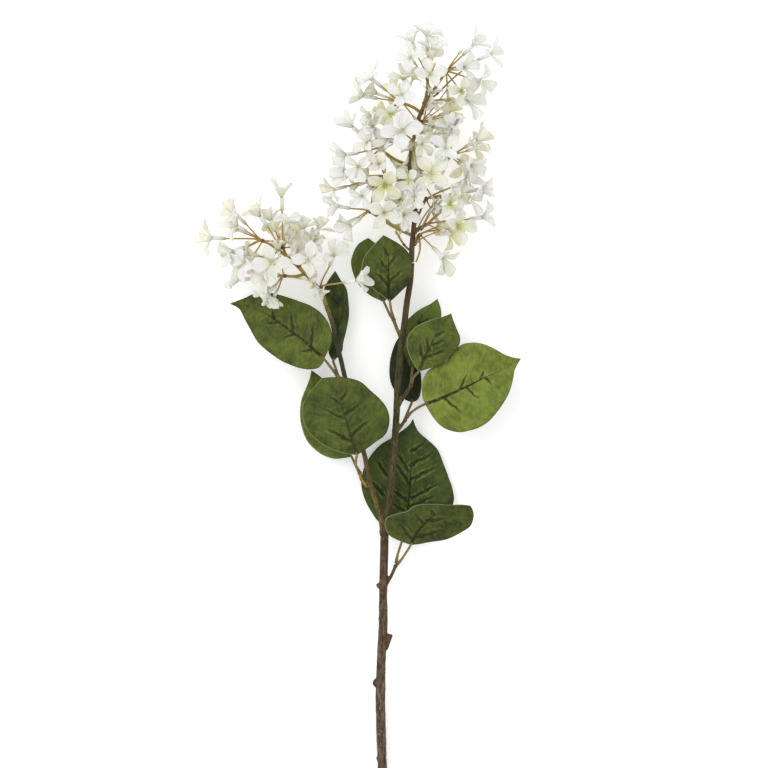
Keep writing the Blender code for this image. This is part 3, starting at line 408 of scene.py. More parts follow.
# Tints along each route, from its foot to its top: youth, knot, gold, olive (above 1 a deeper green).
TRUNK_MARKS = ((0, 0, 0, 0), (0, 0, 0, 0), (0.25, 0.15, 0, 0), (0.85, 0.45, 0, 0))
RIGHT_MARKS = ((0.75, 0.15, 0, 0.3), (0.9, 0, 0.05, 0.9), (1, 0, 0, 1), (1, 0.1, 0, 0.7), (1, 0.6, 0, 0))
LEFT_MARKS = ((0.6, 0.1, 0.1, 0.2), (0.8, 0, 0.25, 0.3), (1, 0, 0.1, 0.9), (1, 0, 0, 1.4), (1, 0, 0, 1.9),
              (1, 0.1, 0.45, 0.8))
STUB_MARK = (0.35, 0.5, 0, 0)
KNOT_MARK = (0.1, 0.6, 0, 0)
BUD_MARK = (1, 0.55, 0.3, 0)
NO_MARK = (0, 0, 0, 0)
TWIG_GOLD = {"fork": 0.1, "left": 0.7, "outer": 0.8, "low": 0.1, "mid": 0.1, "high": 0.45}
PETIOLE_GOLD = {"fork": 0.9, "left": 0.75, "outer": 0.3, "low": 0.15, "mid": 0.1, "high": 0.5}

# How dark the bark of each head's own stem is, from its foot to its top.
RACHIS_AGES = {"main_panicle": (0.95, 0.95, 0.85, 0.5, 0.05, 0.05), "side_panicle": (0.25, 0.1, 0.15)}
RACHIS_OLIVE = 0.8

# Side veins of each leaf, from the midrib outwards on the grid. Leaves without a row get pairs by rule.
VEINS = {
    "leaf_fork_front": (
        ((416, 537), (444, 529)), ((427, 521), (449, 517)), ((424, 523), (414, 513)),
        ((434, 514), (430, 509)), ((412, 540), (401, 525))),
    "leaf_fork_back": (
        ((411, 465), (434, 454)), ((411, 480), (440, 466)), ((410, 500), (443, 482)),
        ((409, 508), (438, 495)), ((411, 452), (425, 443)), ((409, 472), (397, 452)),
        ((409, 484), (394, 461)), ((408, 502), (390, 488)), ((406, 513), (391, 504)),
        ((384, 496), (368, 478)), ((387, 476), (376, 460))),
    "leaf_left_front": (
        ((351, 436), (370, 419)), ((345, 414), (361, 403)), ((340, 400), (347, 392)),
        ((350, 441), (324, 427)), ((344, 418), (323, 409)), ((339, 403), (329, 395))),
    "leaf_outer_front": (
        ((311, 347), (313, 325)), ((293, 332), (291, 313)), ((274, 319), (272, 308)),
        ((313, 350), (298, 352)), ((295, 335), (282, 337)), ((280, 322), (266, 323))),
    "leaf_low_front": (
        ((443, 398), (464, 413)), ((466, 387), (479, 399)), ((485, 378), (493, 385)),
        ((461, 388), (467, 372)), ((480, 379), (484, 370))),
    "leaf_mid_front": (
        ((424, 358), (447, 350)), ((432, 345), (446, 339)), ((422, 358), (419, 342)),
        ((429, 349), (427, 337)), ((436, 336), (445, 331))),
    "leaf_high_front": (
        ((389, 286), (373, 271)), ((388, 270), (378, 258)), ((389, 282), (402, 270)),
        ((388, 266), (397, 255)), ((388, 256), (383, 247))),
}

# How light each leaf is, from 0 for the darkest green to 1 for the lightest, how far the creases
# of its veins are pressed in millimetres, how strong its midrib shows, how much painted shade darkens
# its foot (below 0, painted light), and whether its left edge gets a painted highlight.
TONES = {
    "leaf_fork_front": (0.20, 0.3, 0.85, 0, 1), "leaf_fork_back": (0.20, 1.3, 0.9, 0.2, 0),
    "leaf_left_front": (0.27, 0.4, 0.6, 0, 1), "leaf_left_back": (0.54, 0.3, 0.6, 0, 1),
    "leaf_outer_front": (0.34, 0.35, 1, -0.1, 0), "leaf_outer_back": (0.17, 0.35, 0.2, 0, 1),
    "leaf_low_front": (0.76, 0.35, 1, 0, 1), "leaf_low_back": (0, 0.3, 0.5, 0, 0),
    "leaf_mid_front": (0.34, 0.4, 0.8, 0.1, 1), "leaf_mid_back": (0.55, 0.3, 0.6, 0.2, 0),
    "leaf_high_front": (0.30, 0.6, 0.9, 0.8, 1), "leaf_high_back": (0.42, 0.3, 0.6, 0, 0),
}

# Florets whose throat and petals turn green, by throat, and by how much.
GREEN_FLORETS = {
    (458, 228): 0.9, (385, 187): 1, (404, 80): 0.6, (450, 205): 0.9, (431, 176): 0.45,
    (391, 117): 0.8, (461, 94): 0.6, (399, 201): 0.5, (460, 196): 0.7, (282, 197): 0.5,
    (433, 138): 0.55, (449, 111): 0.7, (408, 182): 0.4, (273, 263): 0.2, (443, 258): 0.15,
}

# Small florets that fill each spray, between those read from the photograph: how many, and how
# many at hubs where the photograph shows open gaps.
FILL_COUNT = 3
OPEN_HUBS = {
    (420, 235): 0, (321, 287): 0, (425.5, 225): 0, (426, 200): 0, (446, 73): 1,
    (426, 103): 0, (421, 124): 1, (427.4, 80): 1,
}

# Bare stalks that show between the florets of the large head: their route on the grid with
# heights, how thick they are, how dark they are, how olive, and whether a bud ends them.
BARE_STALKS = (
    (((424.5, 103, 38.6), (437, 95, 41), (450, 82, 42), (462, 72, 42.5)),
     0.75, 0.1, 0.3, 0),
    (((423, 105, 39), (436, 101, 41), (448, 100, 42)), 0.5, 0.2, 0, 1),
    (((421, 123, 39.6), (430, 113, 42), (437, 104, 43), (446, 92, 44)),
     0.5, 0.1, 0, 1),
    (((421, 123, 39.6), (430, 117, 42), (439, 111, 43)), 0.5, 0.15, 0, 1),
    (((421, 124, 39.6), (431, 121, 41.5), (443, 118, 42)), 0.5, 0.2, 0, 0),
    (((417, 121, 38.6), (421, 111, 41), (426, 103, 42), (436, 86, 43)),
     0.9, 0.35, 0.9, 0),
    (((446, 73, 40), (452, 64, 43), (458, 56, 44)), 0.6, 0.1, 0, 1),
    (((446, 73, 40), (454, 69, 43), (461, 66, 44)), 0.6, 0.1, 0, 1),
    (((427, 82, 39), (427.6, 70, 42), (427.6, 60, 44)), 0.6, 0.05, 0.1, 1),
    (((428, 82, 39), (431, 76, 42), (433, 70, 44)), 0.6, 0.05, 0.1, 1),
    (((415, 243, 34), (418, 236, 37), (428, 231, 39.5), (438, 227, 41)),
     0.75, 0.2, 0.2, 1),
    (((415, 246, 34), (420, 240, 37), (430, 235, 39.5), (439, 232, 41)),
     0.6, 0.1, 0, 1),
    (((416, 234, 35), (420, 224, 38), (426, 214, 41), (435, 203, 43)),
     0.6, 0.15, 0, 1),
    (((418, 232, 35), (423, 225, 38.5), (428, 215, 41), (432, 207, 42.5)),
     0.5, 0.1, 0, 1),
    (((420, 230, 35), (425, 223, 38.5), (431, 213, 41), (438, 205, 42.5)),
     0.5, 0.1, 0, 1),
    (((421, 231, 35), (427, 224, 38.5), (434, 217, 41), (442, 210, 42.5)),
     0.5, 0.1, 0, 1),
    (((414, 238, 34), (415, 226, 38), (420, 212, 40), (426, 200, 41)),
     1, 0.75, 0, 0),
    (((419, 238, 36), (420, 246, 37), (419, 254, 36), (416, 262, 34)),
     0.8, 0.15, 0.1, 0),
    (((409, 250, 33), (404, 245, 35), (400, 239, 37), (396, 232, 38)),
     0.9, 0.35, 0, 0),
    (((413, 210, 36), (406, 208, 40), (398, 208, 42)), 0.6, 0.15, 0, 1),
)

# Dark knots along those stalks: place and radius in millimetres.
BARE_KNOTS = (
    (417, 213, 39, 1.5), (417, 220, 38, 1.6), (426, 199, 40.5, 1.7), (437, 95, 41, 1.2),
    (421, 122.5, 40, 1.7), (404, 245, 35, 1.4), (418, 236, 37, 1.4), (419, 229, 37, 1.2),
)

# How fine each surface is made.
CURVE_STEPS = 120
LEAF_ROWS = 64
LEAF_HALF_COLUMNS = 16
PETIOLE_RINGS = 14
MIDRIB_RINGS = 24
PETAL_ROWS = 9
PETAL_HALF_COLUMNS = 3
SIDES = {"stem": 20, "stub": 16, "rachis": 14, "twig": 12, "branchlet": 10, "petiole": 10, "tube": 10,
         "stalk": 8}
STALK_RINGS = 7
ROUTE_RINGS = 12
TWIG_RINGS = 9
RACHIS_STEPS = 6
STEM_STEPS = 5
BARK_VOXEL = 0.00045

# What sets the fine draws of a head apart from those that its solid shares, and the unevenness
# of the knots at a branchlet's foot and on the bare stalks from that of the hubs.
FINE_SEED = 100
BRANCHLET_SEED = 40
BARE_SEED = 60

# Camera: a long lens straight above, with the photograph's middle and width on the grid, and
# the nearest and farthest distance it sees.
PHOTO_MIDDLE = 384
PHOTO_WIDTH = 768
LENS = 250
SENSOR = 36
SHARP_HEIGHT = 28
CLIP = (0.1, 50)

# Stage: the floor's size, depth below the stem and glow, the room's light, and the lamps with
# their place, size and power.
FLOOR_SIZE = 14
FLOOR_DEPTH = 0.0004
FLOOR_GLOW = 0.28
ROOM_LIGHT = 0.80
LAMPS = {"key": ((-1.1, 1, 2), 1.6, 24), "fill": ((1.3, -0.6, 2.2), 2, 10)}

# Colours of the finishes.
COLOURS = {
    "petal": ("White of the petals", (0.79, 0.79, 0.775)),
    "cream": ("Cream towards the throat and on the backs", (0.72, 0.69, 0.48)),
    "throat": ("Yellow-green of the throats", (0.50, 0.53, 0.14)),
    "petal_cloud": ("Ivory clouds on the petals", (0.72, 0.70, 0.58)),
    "petal_line": ("Grey of the fine lines along a petal", (0.47, 0.48, 0.45)),
    "tan_light": ("Palest foot of a tube", (0.56, 0.50, 0.30)),
    "tan_dark": ("Darkest foot of a tube", (0.40, 0.34, 0.17)),
    "leaf_light": ("Green of the lightest leaf", (0.185, 0.230, 0.034)),
    "leaf_dark": ("Green of the darkest leaf", (0.010, 0.016, 0.005)),
    "leaf_cool": ("Cooler green in patches", (0.10, 0.24, 0.06)),
    # Painted highlight along the turned-up edge of a leaf.
    "leaf_edge": ("Pale line along an edge that is turned up", (0.30, 0.36, 0.15)),
    "vein": ("Dark brown-green of the veins", (0.020, 0.014, 0.005)),
    "shaded_vein": ("Green-black veins of the leaves behind", (0.008, 0.015, 0.006)),
    "under_dark": ("Darker underside of a leaf", (0.075, 0.105, 0.036)),
    "under_light": ("Paler underside of a leaf", (0.145, 0.185, 0.070)),
    "under_thread": ("Threads on the underside", (0.19, 0.23, 0.11)),
    "bark_dark": ("Furrows of the bark", (0.018, 0.012, 0.007)),
    "bark_light": ("Grey ridges of the bark", (0.180, 0.134, 0.086)),
    "bark_rust": ("Rusty patches of the bark", (0.120, 0.062, 0.034)),
    "bark_speck": ("Pale specks of the old bark", (0.360, 0.290, 0.200)),
    "young_bark": ("Brown of the upper stem", (0.105, 0.062, 0.022)),
    "young_speck": ("Specks of the young bark", (0.220, 0.185, 0.070)),
    "green_bark": ("Green of the thin branch", (0.070, 0.074, 0.020)),
    "green_furrow": ("Furrows of the green bark", (0.012, 0.014, 0.005)),
    "deep_green": ("Deepest green of the thin branch", (0.016, 0.030, 0.015)),
    "knot_red": ("Red-brown round the knots", (0.090, 0.040, 0.018)),
    "gold": ("Golden brown of the thin stalks", (0.450, 0.290, 0.050)),
    "olive": ("Olive of the young stalks", (0.250, 0.185, 0.030)),
    "stalk_fleck": ("Pale flecks of the stalks", (0.42, 0.33, 0.14)),
    "umber": ("Dark red-brown of the knots", (0.060, 0.026, 0.008)),
    "petiole": ("Olive-brown of the petioles", (0.20, 0.16, 0.045)),
    "petiole_foot": ("Brown foot of the petioles", (0.115, 0.062, 0.024)),
    "floor": ("Floor", (0.93, 0.93, 0.93)),
    "floor_dust": ("Faint clouds on the floor", (0.90, 0.90, 0.90)),
}


def length(name, description, default, low, high):
    """Property for a size on the stem."""
    return bpy.props.FloatProperty(
        name=name, description=description, default=default, min=low, max=high, unit="LENGTH", precision=5)


def colour(key, description, value):
    """Property for a colour of a finish."""
    return bpy.props.FloatVectorProperty(
        name=key.replace("_", " ").capitalize(), description=description, subtype="COLOR", size=4,
        default=value + (1.0,), min=0.0, max=1.0)


class LilacSizes(bpy.types.PropertyGroup):
    """Sizes that change the look of the stem without moving its pieces."""

    petal_thickness: length("Petal thickness", "Thickness of a petal", 0.00035, 0.0001, 0.001)
    blade_thickness: length("Blade thickness", "Thickness of a leaf blade", 0.00045, 0.0002, 0.001)
    vein_width: length("Vein width", "Width of a side vein at the midrib", 0.0014, 0.0004, 0.003)
    midrib_width: length("Midrib width", "Width of the midrib at the blade's foot", 0.0024, 0.0005, 0.004)
    bark_relief: length("Bark relief", "Height of the ridges along the bark", 0.00026, 0.0, 0.0005)


class LilacColours(bpy.types.PropertyGroup):
    """Colours of the stem's finishes."""

    __annotations__ = {key: colour(key, *entry) for key, entry in COLOURS.items()}


def place(grid_x, grid_y, height):
    """Point in metres for a place on the reading grid and a height in millimetres."""
    return Vector(((grid_x - ORIGIN_X) * PIXEL, (ORIGIN_Y - grid_y) * PIXEL, height * MM))


def flat(point):
    """The point straight below, on the table."""
    return Vector((point.x, point.y, 0))


def heading_vector(turn, tilt):
    """Direction from a turn about the upright and a tilt above the table, in radians."""
    return Vector((math.cos(turn) * math.cos(tilt), math.sin(turn) * math.cos(tilt), math.sin(tilt)))


def catmull(points, amount):
    """Point of a smooth curve through the given points, with amount running from 0 to 1."""
    last = len(points) - 1
    position = min(max(amount, 0.0), 1.0) * last
    index = min(int(position), last - 1)
    t = position - index
    a, b, c, d = (points[min(max(index + step, 0), last)] for step in (-1, 0, 1, 2))
    return 0.5 * ((2 * b) + (c - a) * t + (2 * a - 5 * b + 4 * c - d) * t * t
                  + (3 * b - a - 3 * c + d) * t * t * t)


def smooth_route(route, steps):
    """Points and radii on the smooth curve through a route, with this many steps to each of its parts."""
    spots = [place(x, y, z) for x, y, z, radius in route]
    sizes = [Vector((radius * MM, 0, 0)) for x, y, z, radius in route]
    count = (len(route) - 1) * steps
    return ([catmull(spots, i / count) for i in range(count + 1)],
            [catmull(sizes, i / count).x for i in range(count + 1)])


def even_samples(points, count):
    """Points at equal steps of length along the smooth curve through the given points."""
    fine = [catmull(points, i / CURVE_STEPS) for i in range(CURVE_STEPS + 1)]
    lengths = [0.0]
    for before, after in zip(fine, fine[1:]):
        lengths.append(lengths[-1] + (after - before).length)
    samples = []
    index = 0
    for step in range(count):
        target = lengths[-1] * step / (count - 1)
        while index < CURVE_STEPS - 1 and lengths[index + 1] < target:
            index += 1
        part = max(lengths[index + 1] - lengths[index], 1e-9)
        samples.append(fine[index].lerp(fine[index + 1], min((target - lengths[index]) / part, 1.0)))
    return samples


def smoothstep(low, high, value):
    """0 at low, 1 at high, and a smooth change between."""
    t = min(max((value - low) / (high - low), 0.0), 1.0)
    return t * t * (3 - 2 * t)


def write_marks(mesh, marks):
    """Keep four numbers at each point, for the finishes."""
    mark = mesh.attributes.new("mark", "FLOAT_COLOR", "POINT")
    mark.data.foreach_set("color", np.array(marks, dtype=np.float32).ravel())


class Shape:
    """Points, faces and four marks for each point, gathered for one mesh."""

    def __init__(self):
        self.points = []
        self.faces = []
        self.marks = []

    def add(self, point, mark):
        """One point. Gives its number."""
        self.points.append(point)
        self.marks.append(mark)
        return len(self.points) - 1

    def strip(self, before, after, closed):
        """Quads between two rows of points."""
        count = len(before)
        for index in range(count if closed else count - 1):
            following = (index + 1) % count
            self.faces.append((before[index], before[following], after[following], after[index]))

    def fan(self, centre, row, closed, flip):
        """Triangles between one point and a row."""
        count = len(row)
        for index in range(count if closed else count - 1):
            face = (centre, row[index], row[(index + 1) % count])
            self.faces.append(face[::-1] if flip else face)

    def cap(self, point, mark, row, flip=False):
        """One point and the triangles that close a ring with it."""
        self.fan(self.add(point, mark), row, True, flip)

    def skin(self, rows, closed=False, flip=False):
        """Faces from row to row. A row of one point is a tip."""
        for before, after in zip(rows, rows[1:]):
            if len(before) == 1:
                self.fan(before[0], after, closed, not flip)
            elif len(after) == 1:
                self.fan(after[0], before, closed, flip)
            elif flip:
                self.strip(after, before, closed)
            else:
                self.strip(before, after, closed)

    def ring(self, centre, direction, across, radius, sides, mark):
        """Row of points in a circle about a direction, anticlockwise."""
        side = (across - direction * across.dot(direction)).normalized()
        other = direction.cross(side)
        angles = [2 * math.pi * index / sides for index in range(sides)]
        return [self.add(centre + radius * (side * math.cos(angle) + other * math.sin(angle)), mark)
                for angle in angles]

    def tube(self, points, radii, sides, marks):
        """Closed tube through the points."""
        rows = []
        across = Vector((0.3, 0.2, 1.0))
        last = len(points) - 1
        for index, point in enumerate(points):
            direction = (points[min(index + 1, last)] - points[max(index - 1, 0)]).normalized()
            if abs(direction.dot(across.normalized())) > 0.98:
                across = direction.orthogonal()
            across = across - direction * across.dot(direction)
            rows.append(self.ring(point, direction, across, radii[index], sides, marks[index]))
        self.skin(rows, closed=True)
        self.cap(points[0], marks[0], rows[0], flip=True)
        self.cap(points[-1], marks[-1], rows[-1])

    def knot(self, centre, radius, seed, mark):
        """Small uneven ball."""
        cage = bmesh.new()
        bmesh.ops.create_icosphere(cage, subdivisions=2, radius=1.0)
        first = len(self.points)
        for vertex in cage.verts:
            bump = 1.0 + 0.22 * noise.noise(vertex.co * 1.6 + Vector((seed, 0, 0)))
            self.add(centre + vertex.co * radius * bump, mark)
        for face in cage.faces:
            self.faces.append(tuple(first + vertex.index for vertex in face.verts))
        cage.free()

    def build(self, name, *finishes):
        """Smooth-shaded object of the gathered faces, with the marks at its points."""
        mesh = bpy.data.meshes.new(name)
        mesh.from_pydata([tuple(point) for point in self.points], [], self.faces)
        write_marks(mesh, self.marks)
        return show(name, mesh, *finishes)


def show(name, mesh, *finishes):
    """Object of a mesh with its finishes, in the scene."""
    mesh.name = name
    mesh.shade_smooth()
    for finish in finishes:
        mesh.materials.append(finish)
    item = bpy.data.objects.new(name, mesh)
    bpy.context.scene.collection.objects.link(item)
    return item


def thicken(item, thickness):
    """Give a sheet its thickness, half to either side."""
    shell = item.modifiers.new("thickness", "SOLIDIFY")
    shell.thickness = thickness
    shell.offset = 0.0
    return shell


def hand_over(item, node):
    """The piece stands for a node of the frame: it hangs from the body, and the frame's own node is hidden.
    """
    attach(item, BODY)
    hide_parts(node)


class Net:
    """Nodes of one material or group, and the steps that all of them are made of."""

    def __init__(self, tree):
        self.tree = tree

    def feed(self, node, inputs):
        """Set or link inputs of a node, by name or number."""
        for key, value in inputs.items():
            if isinstance(value, bpy.types.NodeSocket):
                self.tree.links.new(value, node.inputs[key])
            else:
                node.inputs[key].default_value = value
        return node

    def put(self, kind, inputs, **settings):
        """New node with its settings and inputs."""
        node = self.tree.nodes.new("ShaderNode" + kind)
        for key, value in settings.items():
            setattr(node, key, value)
        return self.feed(node, inputs)

    def number(self, operation, first, second=0.0, clamp=False):
        """One step of arithmetic."""
        return self.put("Math", {0: first, 1: second}, operation=operation, use_clamp=clamp).outputs[0]

    def times(self, first, second):
        return self.number("MULTIPLY", first, second)

    def plus(self, first, second, clamp=False):
        return self.number("ADD", first, second, clamp)

    def minus(self, first, second, clamp=False):
        return self.number("SUBTRACT", first, second, clamp)

    def vector(self, operation, first, second):
        """One step of vector arithmetic."""
        key = "Scale" if operation == "SCALE" else 1
        node = self.put("VectorMath", {0: first, key: second}, operation=operation)
        return node.outputs["Value" if operation in ("DOT_PRODUCT", "DISTANCE") else "Vector"]

    def span(self, value, low, high):
        """Mask that rises smoothly from 0 at low to 1 at high."""
        return self.put("MapRange", {"Value": value, "From Min": low, "From Max": high},
                        interpolation_type="SMOOTHSTEP").outputs["Result"]

    def fall(self, value, low, high):
        """Mask that falls smoothly from 1 at low to 0 at high."""
        return self.minus(1.0, self.span(value, low, high))

    def clouds(self, where, scale, detail=3.0, stretch=(1.0, 1.0, 1.0), roughness=0.55):
        """Cloudy mask at the given scale, drawn out by the stretch."""
        return self.put("TexNoise", {"Vector": self.vector("MULTIPLY", where, stretch), "Scale": scale,
                                     "Detail": detail, "Roughness": roughness}).outputs["Fac"]

    def mix(self, amount, first, second):
        """Mix of two colours."""
        return self.put("Mix", {0: amount, 6: first, 7: second}, data_type="RGBA").outputs[2]

    def layers(self, base, *coats):
        """A colour under coats, each with its mask, its strength and its colour."""
        for mask, strength, coat in coats:
            base = self.mix(mask if strength == 1 else self.times(mask, strength), base, coat)
        return base

    def use(self, name, inputs):
        """Outputs of a shared group, placed with its own values."""
        return self.feed(self.put("Group", {}, node_tree=shared_group(name)), inputs).outputs


def vein_stroke(net, where, start, end, width):
    """A soft uneven stroke, widest a third of the way out, with painted shade in a broad shallow furrow
    round it and a painted highlight along its side.
    """
    sway = net.put("TexNoise", {"Vector": where, "Scale": 260.0, "Detail": 2.0}).outputs["Color"]
    sway = net.vector("SCALE", net.vector("SUBTRACT", sway, (0.5, 0.5, 0.5)), 0.0032)
    level = net.vector("MULTIPLY", net.vector("ADD", where, sway), (1, 1, 0))
    run = net.vector("SUBTRACT", end, start)
    offset = net.vector("SUBTRACT", level, start)
    share = net.number("DIVIDE", net.vector("DOT_PRODUCT", offset, run),
                       net.vector("DOT_PRODUCT", run, run), clamp=True)
    gap = net.vector("DISTANCE", offset, net.vector("SCALE", run, share))
    rest = net.minus(1.0, share)
    swell = net.times(net.number("POWER", rest, 0.8), net.number("POWER", net.plus(share, 0.12), 0.3))
    half = net.times(swell, width)
    edge = net.minus(net.times(half, 0.55), gap)
    mask = net.times(net.span(edge, -0.00036, 0.00020), net.span(rest, 0.0, 0.35))
    shoulder = net.minus(net.plus(half, 0.0011), gap)
    furrow_shade = net.times(net.span(shoulder, 0.0, 0.0013), net.span(rest, 0.0, 0.2))
    beside = net.number("ABSOLUTE", net.minus(gap, net.plus(half, 0.0010)))
    return mask, furrow_shade, net.times(net.fall(beside, 0.0, 0.0009), net.span(rest, 0.0, 0.3))


def cloth_grain(net, where, scale):
    """Fine crossed threads of a printed cloth blade, as a height and as a tint."""
    scaled = net.vector("SCALE", where, scale)
    along = net.clouds(scaled, 1.0, 2.0, (1.0, 5.0, 1.0))
    across = net.clouds(scaled, 1.0, 2.0, (5.0, 1.0, 1.0))
    height = net.plus(net.times(along, 0.6), net.times(across, 0.4))
    return height, net.span(height, 0.36, 0.64)


def bark_streaks(net, where, scale):
    """Furrows between the streaks along the stem, grey flecks, and the height of both."""
    scaled = net.vector("SCALE", where, scale)
    streak = net.clouds(scaled, 1.0, 4.0, (1.0, 0.20, 1.0), 0.65)
    fleck = net.clouds(scaled, 1.1, 3.0, (1.0, 0.55, 1.0), 0.6)
    return net.fall(streak, 0.36, 0.56), net.span(fleck, 0.52, 0.66), net.plus(streak, net.times(fleck, 0.4))


# Effects that several finishes share: what fills the group, its inputs with their kinds, its outputs.
GROUPS = {
    "Vein stroke": (vein_stroke, {"Place": "Vector", "Start": "Vector", "End": "Vector", "Width": "Float"},
                    ("Mask", "Furrow", "Light side")),
    "Cloth grain": (cloth_grain, {"Place": "Vector", "Scale": "Float"}, ("Height", "Tint")),
    "Bark streaks": (bark_streaks, {"Place": "Vector", "Scale": "Float"}, ("Furrow", "Fleck", "Height")),
}


def shared_group(name):
    """A shader node group of the table above, built once."""
    if name in bpy.data.node_groups:
        return bpy.data.node_groups[name]
    fill, inputs, outputs = GROUPS[name]
    group = bpy.data.node_groups.new(name, "ShaderNodeTree")
    for socket, kind in inputs.items():
        group.interface.new_socket(name=socket, in_out="INPUT", socket_type="NodeSocket" + kind)
    for socket in outputs:
        group.interface.new_socket(name=socket, in_out="OUTPUT", socket_type="NodeSocketFloat")
    entry = group.nodes.new("NodeGroupInput")
    leave = group.nodes.new("NodeGroupOutput")
    results = fill(Net(group), *(entry.outputs[socket] for socket in inputs))
    for socket, value in zip(outputs, results):
        group.links.new(value, leave.inputs[socket])
    return group


class Finish(Net):
    """A material in the making, with its shader and the object's own coordinates."""

    def __init__(self, name):
        self.material = bpy.data.materials.new(name)
        self.material.use_nodes = True
        super().__init__(self.material.node_tree)
        self.shader = self.tree.nodes["Principled BSDF"]
        self.where = self.put("TexCoord", {}).outputs["Object"]

    def marks(self):
        """The four numbers kept at each point: three from the colour and the alpha."""
        mark = self.put("Attribute", {}, attribute_name="mark")
        split = self.put("SeparateColor", {"Color": mark.outputs["Color"]})
        return split.outputs[0], split.outputs[1], split.outputs[2], mark.outputs["Alpha"]

    def close(self, inputs, height, distance, strength=0.5):
        """Feed the shader and give it a small relief. Gives the material."""
        relief = self.put("Bump", {"Height": height, "Distance": distance, "Strength": strength})
        self.feed(self.shader, {**inputs, "Normal": relief.outputs["Normal"]})
        return self.material


def shade(tint, factor):
    """A lighter or darker tone of a colour."""
    return tuple(min(1.0, value * factor) for value in tint[:3]) + (1.0,)


def leaf_face_material(leaf_name, colours, sizes):
    """Upper face of a leaf. Marks: place along, place across, gaps to midrib and edge in millimetres."""
    tone, depth, rib_strength, foot_painted_shade, left_edge_highlight = TONES[leaf_name]
    # Leaves behind the others get painted shade: more cool green in patches and green-black veins.
    shaded = leaf_name.endswith("back")
    net = Finish(leaf_name + "_face")
    along, across, rib_gap, edge_gap = net.marks()
    grain = net.use("Cloth grain", {"Place": net.where, "Scale": 950.0})
    broad = net.clouds(net.where, 85.0)
    small = net.clouds(net.where, 380.0, 3.0, (1.0, 0.7, 1.0), 0.65)
    # Brush marks that slant outwards as the side veins do.
    slant = net.put("CombineXYZ", {
        "X": net.minus(net.times(along, 68.0), net.times(rib_gap, 0.7)),
        "Y": net.times(rib_gap, 0.16), "Z": net.times(across, 3.0)}).outputs[0]
    brush = net.clouds(slant, 0.95, 4.0, roughness=0.6)
    amount = tone
    for cloud, low, reach, more in ((broad, 0.30, 0.17, 0.34), (small, 0.34, 0.10, 0.26),
                                    (brush, 0.30, 0.10, 0.20)):
        drawn = net.minus(net.span(cloud, low, 1.0 - low), 0.5)
        amount = net.plus(amount, net.times(drawn, reach + more * tone))
    # Painted shade darkens the foot of the blade; a number below 0 paints it lighter.
    foot = net.times(net.fall(along, 0.05, 0.62), foot_painted_shade * tone)
    green = net.mix(net.minus(amount, foot, clamp=True), colours.leaf_dark, colours.leaf_light)
    # Cool green in patches: a random tone on the front leaves, stronger on the leaves behind as painted
    # shade.
    cool = net.span(net.clouds(net.where, 45.0, 2.0), 0.45, 0.7)
    green = net.layers(
        green, (cool, 0.40 if shaded else 0.12, shade(colours.leaf_cool, 0.15 + tone)),
        (grain["Tint"], 0.20, shade(colours.leaf_light, 0.3 + 1.1 * tone)))
    # Veins, each a stroke of its own in a shallow furrow of painted shade, and the midrib, which thins
    # towards the tip.
    veins = {"Mask": 0.0, "Furrow": 0.0, "Light side": 0.0}
    for start, end in vein_lines(leaf_name):
        stroke = net.use("Vein stroke", {
            "Place": net.where, "Start": start, "End": end, "Width": sizes.vein_width})
        for key, before in veins.items():
            veins[key] = net.number("MAXIMUM", before, stroke[key])
    # Painted shade in the furrow beside each vein.
    green = net.layers(green, (veins["Furrow"], 0.36, colours.leaf_dark))
    # Painted highlight on the lit side of each vein, where the blade between the veins rises.
    if leaf_name in VEINS:
        ridge = net.times(veins["Light side"], net.span(small, 0.3, 0.6))
        green = net.layers(green, (ridge, 0.5 * min(depth, 1.3) + 0.15,
                                   shade(colours.leaf_light, 0.55 + 1.1 * tone)))
    rib_half = net.times(net.fall(along, 0.0, 0.85), sizes.midrib_width * 500.0)
    rib = net.times(net.span(net.minus(rib_half, rib_gap), -0.32, 0.2), rib_strength)
    dark = net.number("MAXIMUM", rib, net.times(veins["Mask"], 0.50 + 0.38 * rib_strength))
    wobble = net.span(net.clouds(net.where, 420.0, 2.0), 0.22, 0.50)
    # A thin darker line along the edge, and on some leaves a painted highlight along the left edge, the side
    # that is turned up.
    # Green-black veins on the leaves behind are painted shade.
    green = net.layers(
        green, (net.times(dark, wobble), 1, colours.shaded_vein if shaded else colours.vein),
        (net.fall(edge_gap, 0.15, 0.7), 0.5, colours.leaf_dark))
    # Painted highlight along the left edge.
    if left_edge_highlight:
        painted_edge_highlight = net.times(net.fall(edge_gap, 0.35, 0.9), net.number("LESS_THAN", across, 0.5))
        green = net.layers(green, (painted_edge_highlight, 0.5, colours.leaf_edge))
    height = net.minus(net.plus(grain["Height"], net.times(small, 1.2)), net.times(dark, 0.9))
    return net.close({"Base Color": green, "Roughness": net.plus(0.50, net.times(broad, 0.2)),
                      "Specular IOR Level": 0.16}, height, 0.00016, 0.6)


def leaf_back_material(colours):
    """Paler underside and cut edge of the leaves."""
    net = Finish("leaf_back")
    grain = net.use("Cloth grain", {"Place": net.where, "Scale": 900.0})
    patches = net.span(net.clouds(net.where, 90.0), 0.3, 0.7)
    pale = net.layers(colours.under_dark, (patches, 0.6, colours.under_light),
                      (grain["Tint"], 0.25, colours.under_thread))
    return net.close({"Base Color": pale, "Roughness": net.plus(0.62, net.times(patches, 0.12))},
                     grain["Height"], 0.00015)


def stalk_material(name, colours, base, knot):
    """Thin stalks. Marks: age from golden to brown, olive, none, white share of a tube."""
    net = Finish(name)
    age, olive, _, white = net.marks()
    streak = net.use("Bark streaks", {"Place": net.where, "Scale": 1500.0})
    tint = net.layers(
        base, (olive, 1, colours.olive), (age, 1, knot), (streak["Furrow"], 0.16, colours.umber),
        (streak["Fleck"], 0.25, colours.stalk_fleck), (white, 1, colours.cream))
    return net.close({"Base Color": tint, "Roughness": net.plus(0.5, net.times(streak["Furrow"], 0.2))},
                     streak["Height"], 0.0001)


